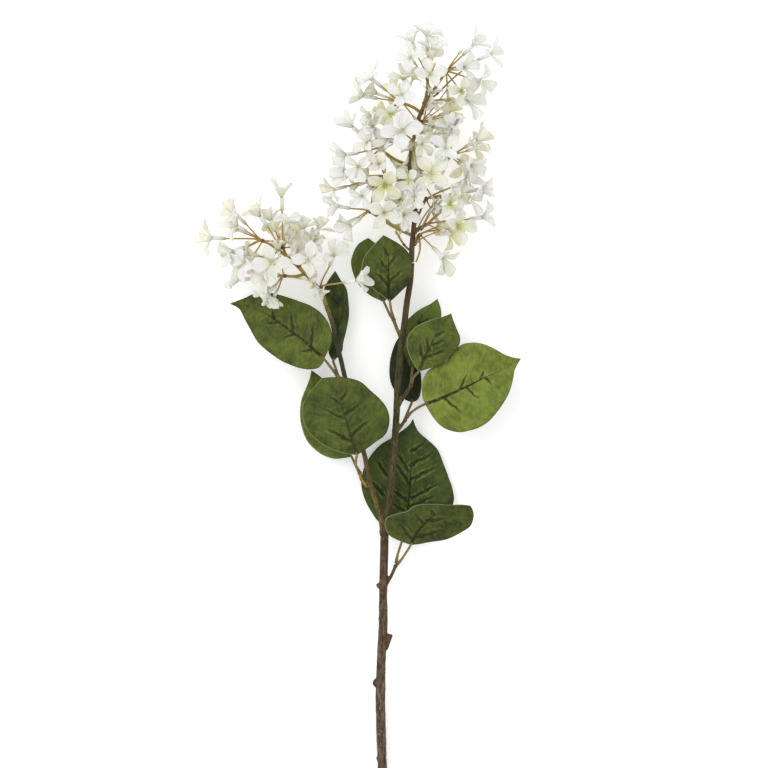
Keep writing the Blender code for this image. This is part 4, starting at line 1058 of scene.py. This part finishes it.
def petal_material(colours):
    """Petals. Marks: place along the petal, place across, the floret's own draw, its green."""
    net = Finish("petal")
    along, across, own, green = net.marks()
    height = net.put("SeparateXYZ", {"Vector": net.where}).outputs["Z"]
    cloud = net.clouds(net.where, 260.0)
    # Florets low in the head get painted shade in cream, those on top stay white; the floret's own draw adds
    # some cream tone too.
    deep_shade = net.fall(height, 0.022, 0.052)
    cream_and_shade = net.plus(net.times(deep_shade, 0.50), net.times(net.span(own, 0.35, 1.0), 0.45), clamp=True)
    # Fine lines that fan out along each petal, fainter towards its tip.
    lines = net.number("SINE", net.plus(net.times(across, 34.0), net.times(cloud, 6.0)))
    faint = net.times(net.span(lines, 0.2, 1.0), net.minus(0.46, net.times(along, 0.20)))
    throat = net.times(net.fall(along, 0.02, 0.42), net.plus(0.28, net.times(green, 0.45)))
    flush = net.times(green, net.minus(0.50, net.times(along, 0.42)))
    white = net.layers(
        colours.petal, (cream_and_shade, 1, colours.cream), (net.span(cloud, 0.4, 0.75), 0.25, colours.petal_cloud),
        (faint, 1, colours.petal_line), (throat, 1, colours.throat), (flush, 1, colours.throat))
    return net.close({"Base Color": white, "Roughness": net.plus(0.48, net.times(cloud, 0.2)),
                      "Specular IOR Level": 0.25, "Subsurface Weight": 0.6,
                      "Subsurface Radius": (1.0, 0.95, 0.75), "Subsurface Scale": 0.002},
                     net.plus(lines, net.times(cloud, 2.0)), 0.0001, 0.35)


def tube_material(colours):
    """Tubes of the florets, white at the mouth and tan at the foot. Marks: warmth, none, own draw, green."""
    net = Finish("floret_tube")
    warm, _, own, green = net.marks()
    tan = net.mix(own, colours.tan_light, colours.tan_dark)
    tint = net.layers(colours.petal, (net.span(warm, 0.15, 0.75), 1, tan), (green, 0.5, colours.throat),
                      (net.span(warm, 0.5, 0.85), 0.35, colours.throat))
    cloud = net.clouds(net.where, 600.0, 3.0, (1.0, 0.3, 1.0))
    return net.close({"Base Color": tint, "Roughness": net.plus(0.5, net.times(cloud, 0.2))},
                     cloud, 0.0001, 0.3)


def bark_material(colours):
    """Bark of the stem. Marks: youth from trunk to twig, redness of knots, gold, olive."""
    net = Finish("bark")
    youth, knot, golden, olive = net.marks()
    coarse = net.use("Bark streaks", {"Place": net.where, "Scale": 520.0})
    fine = net.use("Bark streaks", {"Place": net.where, "Scale": 1500.0})
    speck = net.span(net.clouds(net.where, 1000.0, 3.0, (1.0, 0.4, 1.0), 0.65), 0.55, 0.66)
    patch = net.span(net.clouds(net.where, 260.0, 3.0, (1.0, 0.5, 1.0)), 0.38, 0.62)
    rusty = net.span(net.clouds(net.where, 180.0, 3.0, (1.0, 0.4, 1.0)), 0.45, 0.65)
    grey = net.layers(
        colours.bark_light, (coarse["Furrow"], 0.8, colours.bark_dark), (patch, 0.35, colours.bark_dark),
        (rusty, 0.35, colours.bark_rust), (speck, 0.60, colours.bark_speck))
    green = net.layers(
        colours.green_bark, (coarse["Furrow"], 0.75, colours.green_furrow),
        (net.minus(olive, 1.0, clamp=True), 1, colours.deep_green))
    brown = net.layers(
        colours.young_bark, (coarse["Furrow"], 0.7, colours.bark_dark), (olive, 1, green),
        (patch, 0.45, colours.bark_dark), (speck, 0.30, colours.young_speck))
    gold = net.layers(colours.gold, (fine["Furrow"], 0.4, colours.umber))
    bark = net.layers(grey, (youth, 1, brown), (golden, 1, gold), (fine["Furrow"], 0.72, colours.bark_dark),
                      (knot, 0.7, colours.knot_red))
    return net.close({"Base Color": bark, "Roughness": net.minus(0.88, net.times(youth, 0.25)),
                      "Specular IOR Level": 0.22},
                     net.plus(coarse["Height"], net.times(fine["Height"], 0.8)), 0.0005, 1.0)


def leaf_grid(leaf, rows, half_columns):
    """Rows of points of a blade, from base to tip, as the solid's blade is lofted."""
    midrib = [place(*spot) for spot in leaf.midrib]
    spine = even_samples(midrib, rows + 1)
    edges = []
    for side in (leaf.left, leaf.right):
        outline = [flat(midrib[0])] + [place(x, y, 0) for x, y in side] + [flat(midrib[-1])]
        edges.append(even_samples(outline, rows + 1))
    grid = []
    for row, middle in enumerate(spine):
        along = row / rows
        swell = math.sin(math.pi * along)
        line = []
        for column in range(-half_columns, half_columns + 1):
            across = abs(column) / half_columns
            side = 0 if column < 0 else 1
            edge = edges[side][row]
            point = middle.lerp(Vector((edge.x, edge.y, middle.z)), across)
            lift = leaf.lift[side] * across ** 1.4 * swell
            wave = leaf.wave * across ** 2 * swell * math.sin(5 * math.pi * along + side * 1.7)
            point.z += (lift + wave) * MM
            line.append(point)
        grid.append(line)
    return grid


def vein_lines(name):
    """Start and end of each side vein on the table plane, read from the photograph or by rule."""
    if name in VEINS:
        return [(place(*start, 0), place(*end, 0)) for start, end in VEINS[name]]
    half_columns = 4
    grid = leaf_grid(LEAVES[name], 20, half_columns)
    lines = []
    for row in (4, 8, 12):
        for column in (1, 7):
            start = flat(grid[row][half_columns])
            lines.append((start, flat(grid[row + 4][column]).lerp(start, 0.3)))
    return lines


def vein_dent(point, veins):
    """How deep the side veins press the blade at a point, as a share of the full depth."""
    dent = 0.0
    for start, end in veins:
        run = end - start
        offset = flat(point) - start
        share = offset.dot(run) / run.length_squared
        if -0.2 < share < 1.5:
            gap = (offset - run * min(max(share, 0.0), 1.5)).length
            dent += math.exp(-(gap / VEIN_GROOVE) ** 2) * smoothstep(1.5, 0.6, share)
    return dent


def build_blade(name, leaf, face, back, thickness):
    """Blade with pressed veins and a flat edge. Gives the points of its midrib."""
    depth = TONES[name][1]
    veins = vein_lines(name)
    seed = sum(ord(letter) for letter in name)
    shape = Shape()
    rows = []
    spine = []
    for row, line in enumerate(leaf_grid(leaf, LEAF_ROWS, LEAF_HALF_COLUMNS)):
        along = row / LEAF_ROWS
        tip = row in (0, LEAF_ROWS)
        middle = line[LEAF_HALF_COLUMNS]
        indices = []
        for column, point in enumerate(line[:1] if tip else line):
            across = (column - LEAF_HALF_COLUMNS) / LEAF_HALF_COLUMNS
            rib_gap = (point - middle).length
            edge_gap = (point - line[0 if across < 0 else -1]).length
            groove = RIB_DEPTH * math.exp(-(rib_gap / RIB_GROOVE) ** 2) * (1 - RIB_FADE * along)
            dent = groove + vein_dent(point, veins)
            puff = PUFF_HEIGHT * noise.noise(
                Vector((point.x * PUFF_FINENESS, point.y * PUFF_FINENESS, seed)))
            fade = smoothstep(0.0, FLAT_EDGE, edge_gap) * min(1.0, 3 * math.sin(math.pi * along))
            moved = point + Vector((0, 0, (puff - dent) * depth * fade * MM))
            if tip or across == 0:
                spine.append(moved)
            indices.append(shape.add(moved, (along, 0.5 + 0.5 * across, rib_gap / MM, edge_gap / MM)))
        rows.append(indices)
    shape.skin(rows)
    blade = shape.build(name + "_blade", face, back)
    shell = thicken(blade, thickness)
    shell.material_offset = 1
    shell.material_offset_rim = 1
    hand_over(blade, name)
    return spine


def build_petiole(name, leaf, spine, finish, blade_thickness):
    """Petiole from its bud to the blade, under which it runs on as the midrib."""
    bud = place(*TWIGS[leaf.twig][-1])
    spots = [place(*spot) for spot in leaf.petiole]
    start = bud + (spots[0] - bud).normalized() * (BUD_RADIUS + SEAT_GAP)
    points = even_samples([start] + spots + [place(*leaf.midrib[0])], PETIOLE_RINGS)
    radii = [PETIOLE_RADIUS * (PETIOLE_SWELL - 0.35 * min(i / 6, 1.0)) for i in range(PETIOLE_RINGS)]
    gold = PETIOLE_GOLD[leaf.twig]
    marks = [(1.0 - gold * min(i / 4, 1.0), 0.4, 0, 0) for i in range(PETIOLE_RINGS)]
    for step in range(1, MIDRIB_RINGS + 1):
        along = MIDRIB_START + MIDRIB_STRETCH * step / MIDRIB_RINGS
        row = along * LEAF_ROWS
        radius = PETIOLE_RADIUS * (MIDRIB_RADIUS - MIDRIB_TAPER * along)
        centre = spine[int(row)].lerp(spine[int(row) + 1], row - int(row))
        lower = (blade_thickness * 0.5 + 0.8 * radius) * smoothstep(0.0, 0.08, along)
        points.append(centre - Vector((0, 0, lower)))
        radii.append(radius)
        marks.append((1.0 - gold, 0.3, 0, 0))
    shape = Shape()
    shape.tube(points, radii, SIDES["petiole"], marks)
    hand_over(shape.build(name + "_petiole", finish), name)


def petal_outline(heading, opening):
    """Two widest points and the tip of a petal of the solid, in the floret's own axes."""
    rise = math.sin(opening)
    spread = math.cos(opening)
    points = []
    for turn, reach, lift in ((-PETAL_MID_ANGLE, PETAL_MID_REACH, PETAL_CUP),
                              (0.0, PETAL_REACH, -0.4 * PETAL_CUP),
                              (PETAL_MID_ANGLE, PETAL_MID_REACH, PETAL_CUP)):
        angle = heading + turn
        points.append(Vector((reach * spread * math.cos(angle), reach * spread * math.sin(angle),
                              reach * rise + lift)))
    return points


def floret_places(hub, spray, draw):
    """Throat, facing, direction of one petal, size and green of each floret of a spray."""
    places = []
    for floret in (Floret(*row) for row in spray.florets):
        tilt = math.radians(floret.face)
        throat = place(*floret.throat, 0)
        offset = throat - flat(hub)
        rise = FLORET_REACH * 0.9 * math.sin(tilt) + floret.rise * MM
        heading = offset.normalized() if offset.length > 0.001 else Vector((0, 1, 0))
        facing = heading * math.cos(tilt) + Vector((0, 0, math.sin(tilt)))
        tip = place(*floret.tip, 0) - throat
        green = GREEN_FLORETS.get(floret.throat, 0.0)
        places.append((hub + offset + Vector((0, 0, rise)), facing.normalized(), tip, floret.size, green))
    for heading in spray.hidden:
        turn = math.radians(heading)
        facing = heading_vector(turn, math.radians(draw.uniform(*HIDDEN_TILT)))
        throat = hub + facing * FLORET_REACH * draw.uniform(*HIDDEN_REACH)
        size = draw.uniform(*HIDDEN_SIZE)
        places.append((throat, facing, heading_vector(turn + 1, 0), size, HIDDEN_GREEN))
    return places


def fill_places(hub, amount, draw):
    """Throat, facing, petal direction, size and green of the small florets that fill a spray."""
    places = []
    start = draw.uniform(0, 360)
    for index in range(amount):
        turn = math.radians(start + 360 * index / amount + draw.uniform(*FILL_WANDER))
        facing = heading_vector(turn, math.radians(draw.uniform(*FILL_TILT)))
        throat = hub + facing * FLORET_REACH * draw.uniform(*FILL_REACH)
        tip = Vector((draw.uniform(-1, 1), draw.uniform(-1, 1), 0.3))
        places.append((throat, facing, tip, draw.uniform(*FILL_SIZE), draw.uniform(*FILL_GREEN)))
    return places


def floret_frame(throat, facing, tip, size):
    """Matrix that carries the floret's own axes to its place, with a petal towards the tip."""
    across = tip - facing * tip.dot(facing)
    across.normalize()
    turn = Matrix((across, facing.cross(across), facing)).transposed().to_4x4()
    return Matrix.Translation(throat) @ turn @ Matrix.Scale(size, 4)


def petal_half_width(s, width):
    """Half width of a petal at a share of its length, from a narrow foot to a pointed tip."""
    if s < PETAL_WIDEST:
        foot = MOUTH_RADIUS * 0.8
        return foot + (width - foot) * math.sin(math.pi / 2 * s / PETAL_WIDEST) ** 0.95
    return width * max(1 - ((s - PETAL_WIDEST) / (1 - PETAL_WIDEST)) ** 1.6, 0.0) ** 0.85


def add_petals(shape, matrix, opening, own, green, draw):
    """Four cupped oval petals round the throat, each with its own lean, twist and curl."""
    for index in range(4):
        petal = Petal(*(draw.uniform(*limits) for limits in PETAL_DRAWS.values()))
        heading = 2 * math.pi * index / 4 + petal.turn
        lean = opening + math.radians(petal.lean)
        reach = PETAL_REACH * petal.reach
        width = PETAL_WIDTH * petal.width
        start = Vector((petal.crease_x, petal.crease_y, 0))
        rows = []
        for row in range(PETAL_ROWS + 1):
            s = row / PETAL_ROWS
            radial = MOUTH_RADIUS + (reach - MOUTH_RADIUS) * s
            half = petal_half_width(s, width)
            line = []
            for column in range(-PETAL_HALF_COLUMNS, PETAL_HALF_COLUMNS + 1):
                t = column / PETAL_HALF_COLUMNS
                side = half * t + petal.bow * s * s
                cup = PETAL_CUP * t * t * math.sin(math.pi * min(s * 1.05, 1.0)) * (half / width)
                fold = petal.fold * abs(t) * (half / width) * s
                wave = WAVE_HEIGHT * math.sin(petal.ripple + 6 * s + 2.4 * t) * s * abs(t)
                pleat = PLEAT_DEPTH * math.exp(-(t / 0.22) ** 2) * (1 - s)
                spot = start + Vector((radial * CREASES_PER_METRE, side * CREASES_PER_METRE, 0))
                crease = CREASE_HEIGHT * noise.noise(spot) * s
                sink = MOUTH_SINK * (1 - smoothstep(0.0, 0.22, s))
                height = (radial * math.sin(lean) + cup + fold + wave + crease - pleat
                          - petal.curl * s ** 2.5 + petal.twist * side * s - sink)
                out = radial * math.cos(lean)
                point = matrix @ Vector((out * math.cos(heading) - side * math.sin(heading),
                                         out * math.sin(heading) + side * math.cos(heading), height))
                point.z = max(point.z, TABLE_CLEARANCE)
                line.append(shape.add(point, (s, 0.5 + 0.5 * t, own, green)))
                if half < 1e-6:
                    break
            rows.append(line)
        shape.skin(rows, flip=True)


def add_floret_tube(shape, matrix, facing, size, own, green):
    """White tube with its open mouth, narrow neck and rounded foot, added to the shape."""
    across = (matrix.to_3x3() @ Vector((1, 0, 0))).normalized()
    centres = [matrix.translation + facing * depth * size for depth, radius, warm in TUBE_PROFILE]
    marks = [(warm, 0, own, green) for depth, radius, warm in TUBE_PROFILE]
    rows = [shape.ring(centre, facing, across, radius * size, SIDES["tube"], mark)
            for centre, mark, (depth, radius, warm) in zip(centres, marks, TUBE_PROFILE)]
    shape.skin(rows, closed=True, flip=True)
    shape.cap(centres[0], marks[0], rows[0])
    shape.cap(centres[-1], marks[-1], rows[-1], flip=True)


def add_floret_stalk(shape, hub, outward, throat, facing, size, own):
    """Thin stalk that leaves the hub outwards and ends in a small brown cup round the tube's foot."""
    foot = throat - facing * CUP_PLACE * size
    reach = (foot - hub).length
    agree = max(outward.dot((foot - hub).normalized()), 0.0)
    share, most = STALK_LEAVE
    leave = hub + outward * min(share * reach, most) * agree
    share, most = STALK_MEET
    bend = foot - facing * min(share * reach, most)
    points = []
    radii = []
    marks = []
    for index in range(STALK_RINGS + 1):
        t = index / STALK_RINGS
        points.append(hub * (1 - t) ** 3 + leave * 3 * t * (1 - t) ** 2 + bend * 3 * t * t * (1 - t)
                      + foot * t ** 3)
        radii.append(STALK_RADIUS + STALK_SWELL * (1 - t) ** 2)
        marks.append((0.55 * (1 - t) ** 5 + 0.08 * own, 0, 0, 0))
    for depth, radius, age in CUP_PROFILE:
        points.append(foot + facing * depth * size)
        radii.append(radius * size)
        marks.append((age, 0, 0, 0.25))
    shape.tube(points, radii, SIDES["stalk"], marks)


def add_bare_stalks(shape):
    """Stalks, buds and dark knots that show in the gaps of the large head."""
    for route, thickness, age, olive, bud in BARE_STALKS:
        points = even_samples([place(*spot) for spot in route], ROUTE_RINGS)
        shares = [i / (ROUTE_RINGS - 1) for i in range(ROUTE_RINGS)]
        radii = [thickness * BARE_STALK_SHARE * MM * (1.15 - 0.25 * share) for share in shares]
        marks = [(min(1.0, age + 0.5 * (1 - share) ** 4), olive, 0, 0) for share in shares]
        if bud:
            end = points[-1]
            ahead = (end - points[-2]).normalized()
            for reach, radius, white in BUD_PROFILE:
                points.append(end + ahead * reach)
                radii.append(radius * MM)
                marks.append((0.1, 0, 0, white))
        shape.tube(points, radii, SIDES["stalk"], marks)
    for seed, (x, y, z, radius) in enumerate(BARE_KNOTS, BARE_SEED):
        shape.knot(place(x, y, z), radius * BARE_KNOT_SHARE * MM, seed, (0.95, 0, 0, 0))


def add_branchlet(shape, spots, hub, seed):
    """Branchlet that carries a hub, with a dark knot where it leaves the rachis."""
    route = [place(*spot) for spot in spots] + [hub]
    low, high = BRANCHLET_RADII
    last = ROUTE_RINGS - 1
    radii = [low + (high - low) * i / last for i in range(ROUTE_RINGS)]
    marks = [(0.5 * abs(2 * i / last - 1) ** 6 + 0.02, 0.5, 0, 0) for i in range(ROUTE_RINGS)]
    shape.tube(even_samples(route, ROUTE_RINGS), radii, SIDES["branchlet"], marks)
    shape.knot(route[0], low * BRANCHLET_KNOT_SHARE, seed, (0.9, 0, 0, 0))


def settled(matrix, opening):
    """The floret's matrix, lowered or raised on to the table where it hangs close above it."""
    lowest = min((matrix @ (point + Vector((0, 0, depth)))).z
                 for index in range(4) for depth in (0, -PETAL_THICKNESS)
                 for point in petal_outline(2 * math.pi * index / 4, opening))
    return Matrix.Translation((0, 0, -lowest)) @ matrix if lowest < TABLE_REACH else matrix


def build_head(name, rachis, sprays, seed, finishes, thickness):
    """A flower head in three pieces: petals, tubes, and the stalks that carry them."""
    draw = random.Random(seed)
    extra = random.Random(seed + FINE_SEED)
    shapes = {"petals": Shape(), "tubes": Shape(), "stalks": Shape()}
    petals, tubes, stalks = shapes.values()
    points, radii = smooth_route(rachis, RACHIS_STEPS)
    radii = [radius * (1 + 0.08 * noise.noise(point * 400)) for point, radius in zip(points, radii)]
    ages = [Vector((age, 0, 0)) for age in RACHIS_AGES[name]]
    last = len(points) - 1
    marks = [(catmull(ages, i / last).x, RACHIS_OLIVE, 0, 0) for i in range(last + 1)]
    stalks.tube(points, radii, SIDES["rachis"], marks)
    if name == "main_panicle":
        add_bare_stalks(stalks)
    for index, spray in enumerate(sprays):
        hub = place(*spray.hub)
        before = place(*spray.branchlet[-1]) if spray.branchlet else points[-2]
        outward = (hub - before).normalized()
        stalks.knot(hub, HUB_RADIUS * HUB_SHARE, index, (0.85, 0, 0, 0))
        if spray.branchlet:
            add_branchlet(stalks, spray.branchlet, hub, index + BRANCHLET_SEED)
        florets = []
        amount = OPEN_HUBS.get(spray.hub[:2], FILL_COUNT)
        for places, source in ((floret_places(hub, spray, draw), draw),
                               (fill_places(hub, amount, extra), extra)):
            for throat, facing, tip, size, green in places:
                side = facing.x ** 2 + facing.y ** 2
                opening = math.radians(source.uniform(*OPENING_RANGE) + SIDE_OPENING * side)
                florets.append((floret_frame(throat, facing, tip, size), facing, size, green, opening))
        for matrix, facing, size, green, opening in florets:
            matrix = settled(matrix, opening)
            own = extra.random()
            add_petals(petals, matrix, opening, own, green, extra)
            add_floret_tube(tubes, matrix, facing, size, own, green)
            add_floret_stalk(stalks, hub, outward, matrix.translation, facing, size, own)
    for part, shape in shapes.items():
        item = shape.build(name + "_" + part, finishes[part])
        if part == "petals":
            thicken(item, thickness)
        hand_over(item, name)


def stem_cage():
    """Rough tubes and knots of the whole stem, and the tints at points along it."""
    shape = Shape()
    samples = []
    for route, stops in ((TRUNK, TRUNK_MARKS), (RIGHT_STEM, RIGHT_MARKS), (LEFT_BRANCH, LEFT_MARKS)):
        points, radii = smooth_route(route, STEM_STEPS)
        shape.tube(points, radii, SIDES["stem"], [NO_MARK] * len(points))
        for index, point in enumerate(points):
            position = index / (len(points) - 1) * (len(stops) - 1)
            first = min(int(position), len(stops) - 2)
            samples.append((point, Vector(stops[first]).lerp(Vector(stops[first + 1]), position - first)))
    stub = [place(x, y, z) for x, y, z, radius in STUB]
    shape.tube(stub, [radius * MM for x, y, z, radius in STUB], SIDES["stub"], [NO_MARK] * len(stub))
    samples += [(point, Vector(STUB_MARK)) for point in stub[1:]]
    for name, x, y, z, radii in KNOTS:
        first = len(shape.points)
        shape.knot(Vector((0, 0, 0)), 1.0, x, NO_MARK)
        for index in range(first, len(shape.points)):
            corner = shape.points[index]
            shape.points[index] = place(x, y, z) + Vector([corner[i] * radii[i] * MM for i in range(3)])
        if not name.startswith("fork"):
            samples.append((place(x, y, z), Vector(KNOT_MARK)))
    for name, route in TWIGS.items():
        spots = even_samples([place(*spot) for spot in route], TWIG_RINGS)
        radii = [TWIG_RADIUS * (1.35 - 0.35 * min(i / 3, 1.0)) for i in range(TWIG_RINGS)]
        shape.tube(spots, radii, SIDES["twig"], [NO_MARK] * TWIG_RINGS)
        shape.knot(spots[-1], BUD_RADIUS, len(name), NO_MARK)
        samples += [(spot, Vector((1, 0.1, TWIG_GOLD[name], 0))) for spot in spots[3:-1]]
        samples.append((spots[-1], Vector(BUD_MARK)))
    return shape.build("woody_stem_cage"), samples


def nearest_tint(tree, samples, point):
    """Tint at a point of the bark, from the two samples that lie nearest."""
    found = tree.find_n(point, 2)
    weights = [1 / (distance + TINT_SOFTNESS) ** 2 for _, index, distance in found]
    mark = Vector(NO_MARK)
    for weight, (_, index, distance) in zip(weights, found):
        mark += samples[index][1] * (weight / sum(weights))
    return mark


def build_stem(finish, relief):
    """Trunk, branches, twigs and knots melted into one skin with ridged bark."""
    cage, samples = stem_cage()
    melt = cage.modifiers.new("melt", "REMESH")
    melt.mode = "VOXEL"
    melt.voxel_size = BARK_VOXEL
    even = cage.modifiers.new("even", "SMOOTH")
    even.factor = 0.5
    even.iterations = 3
    bpy.context.view_layer.update()
    mesh = bpy.data.meshes.new_from_object(cage.evaluated_get(bpy.context.evaluated_depsgraph_get()))
    bpy.data.objects.remove(cage)
    tree = kdtree.KDTree(len(samples))
    for index, (point, mark) in enumerate(samples):
        tree.insert(point, index)
    tree.balance()
    marks = []
    places = []
    for vertex in mesh.vertices:
        point = vertex.co
        mark = nearest_tint(tree, samples, point)
        marks.append(tuple(mark))
        ridge = noise.noise(point * Vector(RIDGE_FINENESS))
        lump = noise.noise(point * LUMP_FINENESS)
        pit = noise.noise(point * Vector(PIT_FINENESS))
        old = 1.0 - 0.6 * mark[0]
        places.append(point + vertex.normal * relief * old * (ridge + 0.9 * lump + 0.4 * pit))
    mesh.vertices.foreach_set("co", np.array([tuple(point) for point in places], dtype=np.float32).ravel())
    stale = mesh.attributes.get("mark")
    if stale:
        mesh.attributes.remove(stale)
    write_marks(mesh, marks)
    mesh.materials.clear()
    hand_over(show("woody_stem_bark", mesh, finish), "woody_stem")


def floor_material(colours):
    """Plain pale floor that glows a little, as the photograph's background holds no shadow."""
    net = Finish("floor_pale")
    pale = net.layers(colours.floor, (net.clouds(net.where, 6.0, 2.0), 0.03, colours.floor_dust))
    net.feed(net.shader, {"Base Color": pale, "Roughness": 0.9, "Specular IOR Level": 0.1,
                          "Emission Color": (1.0, 1.0, 1.0, 1.0), "Emission Strength": FLOOR_GLOW})
    return net.material


def add_lamp(name, position, size, power, target):
    """Soft square light that faces the target."""
    lamp = bpy.data.lights.new(name, "AREA")
    lamp.shape = "SQUARE"
    lamp.size = size
    lamp.energy = power
    item = bpy.data.objects.new(name, lamp)
    item.location = position
    item.rotation_euler = (target - Vector(position)).to_track_quat("-Z", "Y").to_euler()
    bpy.context.scene.collection.objects.link(item)


class LILAC_OT_stage(bpy.types.Operator):
    """Make the floor, the lights and the camera above"""

    bl_idname = "lilac.stage"
    bl_label = "Stage"

    def execute(self, context):
        scene = context.scene
        bpy.ops.mesh.primitive_plane_add(size=FLOOR_SIZE, location=(0, 0, -FLOOR_DEPTH))
        floor = context.object
        floor.name = "floor"
        floor.data.materials.append(floor_material(scene.lilac_colours))
        scene.world = bpy.data.worlds.new("soft_room")
        scene.world.use_nodes = True
        sky = scene.world.node_tree.nodes["Background"]
        sky.inputs["Color"].default_value = (1.0, 1.0, 1.0, 1.0)
        sky.inputs["Strength"].default_value = ROOM_LIGHT
        scene.view_settings.view_transform = "Standard"
        middle = place(PHOTO_MIDDLE, PHOTO_MIDDLE, SHARP_HEIGHT)
        for name, lamp in LAMPS.items():
            add_lamp(name, *lamp, middle)
        camera = bpy.data.objects.new("camera", bpy.data.cameras.new("camera"))
        camera.data.type = "PERSP"
        camera.data.lens = LENS
        camera.data.sensor_width = SENSOR
        camera.data.clip_start, camera.data.clip_end = CLIP
        camera.location = middle + Vector((0, 0, PHOTO_WIDTH * PIXEL * LENS / SENSOR))
        scene.collection.objects.link(camera)
        scene.camera = camera
        return {"FINISHED"}


class LILAC_OT_stem(bpy.types.Operator):
    """Make the woody stem with its bark, branches, twigs and knots"""

    bl_idname = "lilac.stem"
    bl_label = "Woody stem"

    def execute(self, context):
        build_stem(bark_material(context.scene.lilac_colours), context.scene.lilac_sizes.bark_relief)
        return {"FINISHED"}


class LILAC_OT_leaves(bpy.types.Operator):
    """Make the twelve leaves with their petioles"""

    bl_idname = "lilac.leaves"
    bl_label = "Leaves"

    def execute(self, context):
        colours = context.scene.lilac_colours
        sizes = context.scene.lilac_sizes
        back = leaf_back_material(colours)
        stalk = stalk_material("petiole", colours, colours.petiole, colours.petiole_foot)
        for name, leaf in LEAVES.items():
            face = leaf_face_material(name, colours, sizes)
            spine = build_blade(name, leaf, face, back, sizes.blade_thickness)
            build_petiole(name, leaf, spine, stalk, sizes.blade_thickness)
        return {"FINISHED"}


class LILAC_OT_heads(bpy.types.Operator):
    """Make the large and the small flower head"""

    bl_idname = "lilac.heads"
    bl_label = "Flower heads"

    def execute(self, context):
        colours = context.scene.lilac_colours
        finishes = {"petals": petal_material(colours), "tubes": tube_material(colours),
                    "stalks": stalk_material("golden_stalk", colours, colours.gold, colours.umber)}
        for name, (rachis, sprays, seed) in HEADS.items():
            build_head(name, rachis, sprays, seed, finishes, context.scene.lilac_sizes.petal_thickness)
        return {"FINISHED"}


class LILAC_PT_panel(bpy.types.Panel):
    """Lists the steps that build the stem, with its sizes and colours"""

    bl_idname = "LILAC_PT_panel"
    bl_label = "Lilac stem"
    bl_space_type = "VIEW_3D"
    bl_region_type = "UI"
    bl_category = "Lilac"

    def draw(self, context):
        for step in STEPS:
            self.layout.operator(step.bl_idname)
        for group in (context.scene.lilac_sizes, context.scene.lilac_colours):
            for key in group.__annotations__:
                self.layout.prop(group, key)


STEPS = (LILAC_OT_stage, LILAC_OT_stem, LILAC_OT_leaves, LILAC_OT_heads)
CLASSES = (LilacSizes, LilacColours) + STEPS + (LILAC_PT_panel,)


def register():
    for item in CLASSES:
        bpy.utils.register_class(item)
    bpy.types.Scene.lilac_sizes = bpy.props.PointerProperty(type=LilacSizes)
    bpy.types.Scene.lilac_colours = bpy.props.PointerProperty(type=LilacColours)


def unregister():
    del bpy.types.Scene.lilac_colours
    del bpy.types.Scene.lilac_sizes
    for item in reversed(CLASSES):
        bpy.utils.unregister_class(item)


def main():
    """Build every piece in order."""
    register()
    bpy.ops.lilac.stage()
    bpy.ops.lilac.stem()
    bpy.ops.lilac.leaves()
    bpy.ops.lilac.heads()


if __name__ == "__main__":
    main()
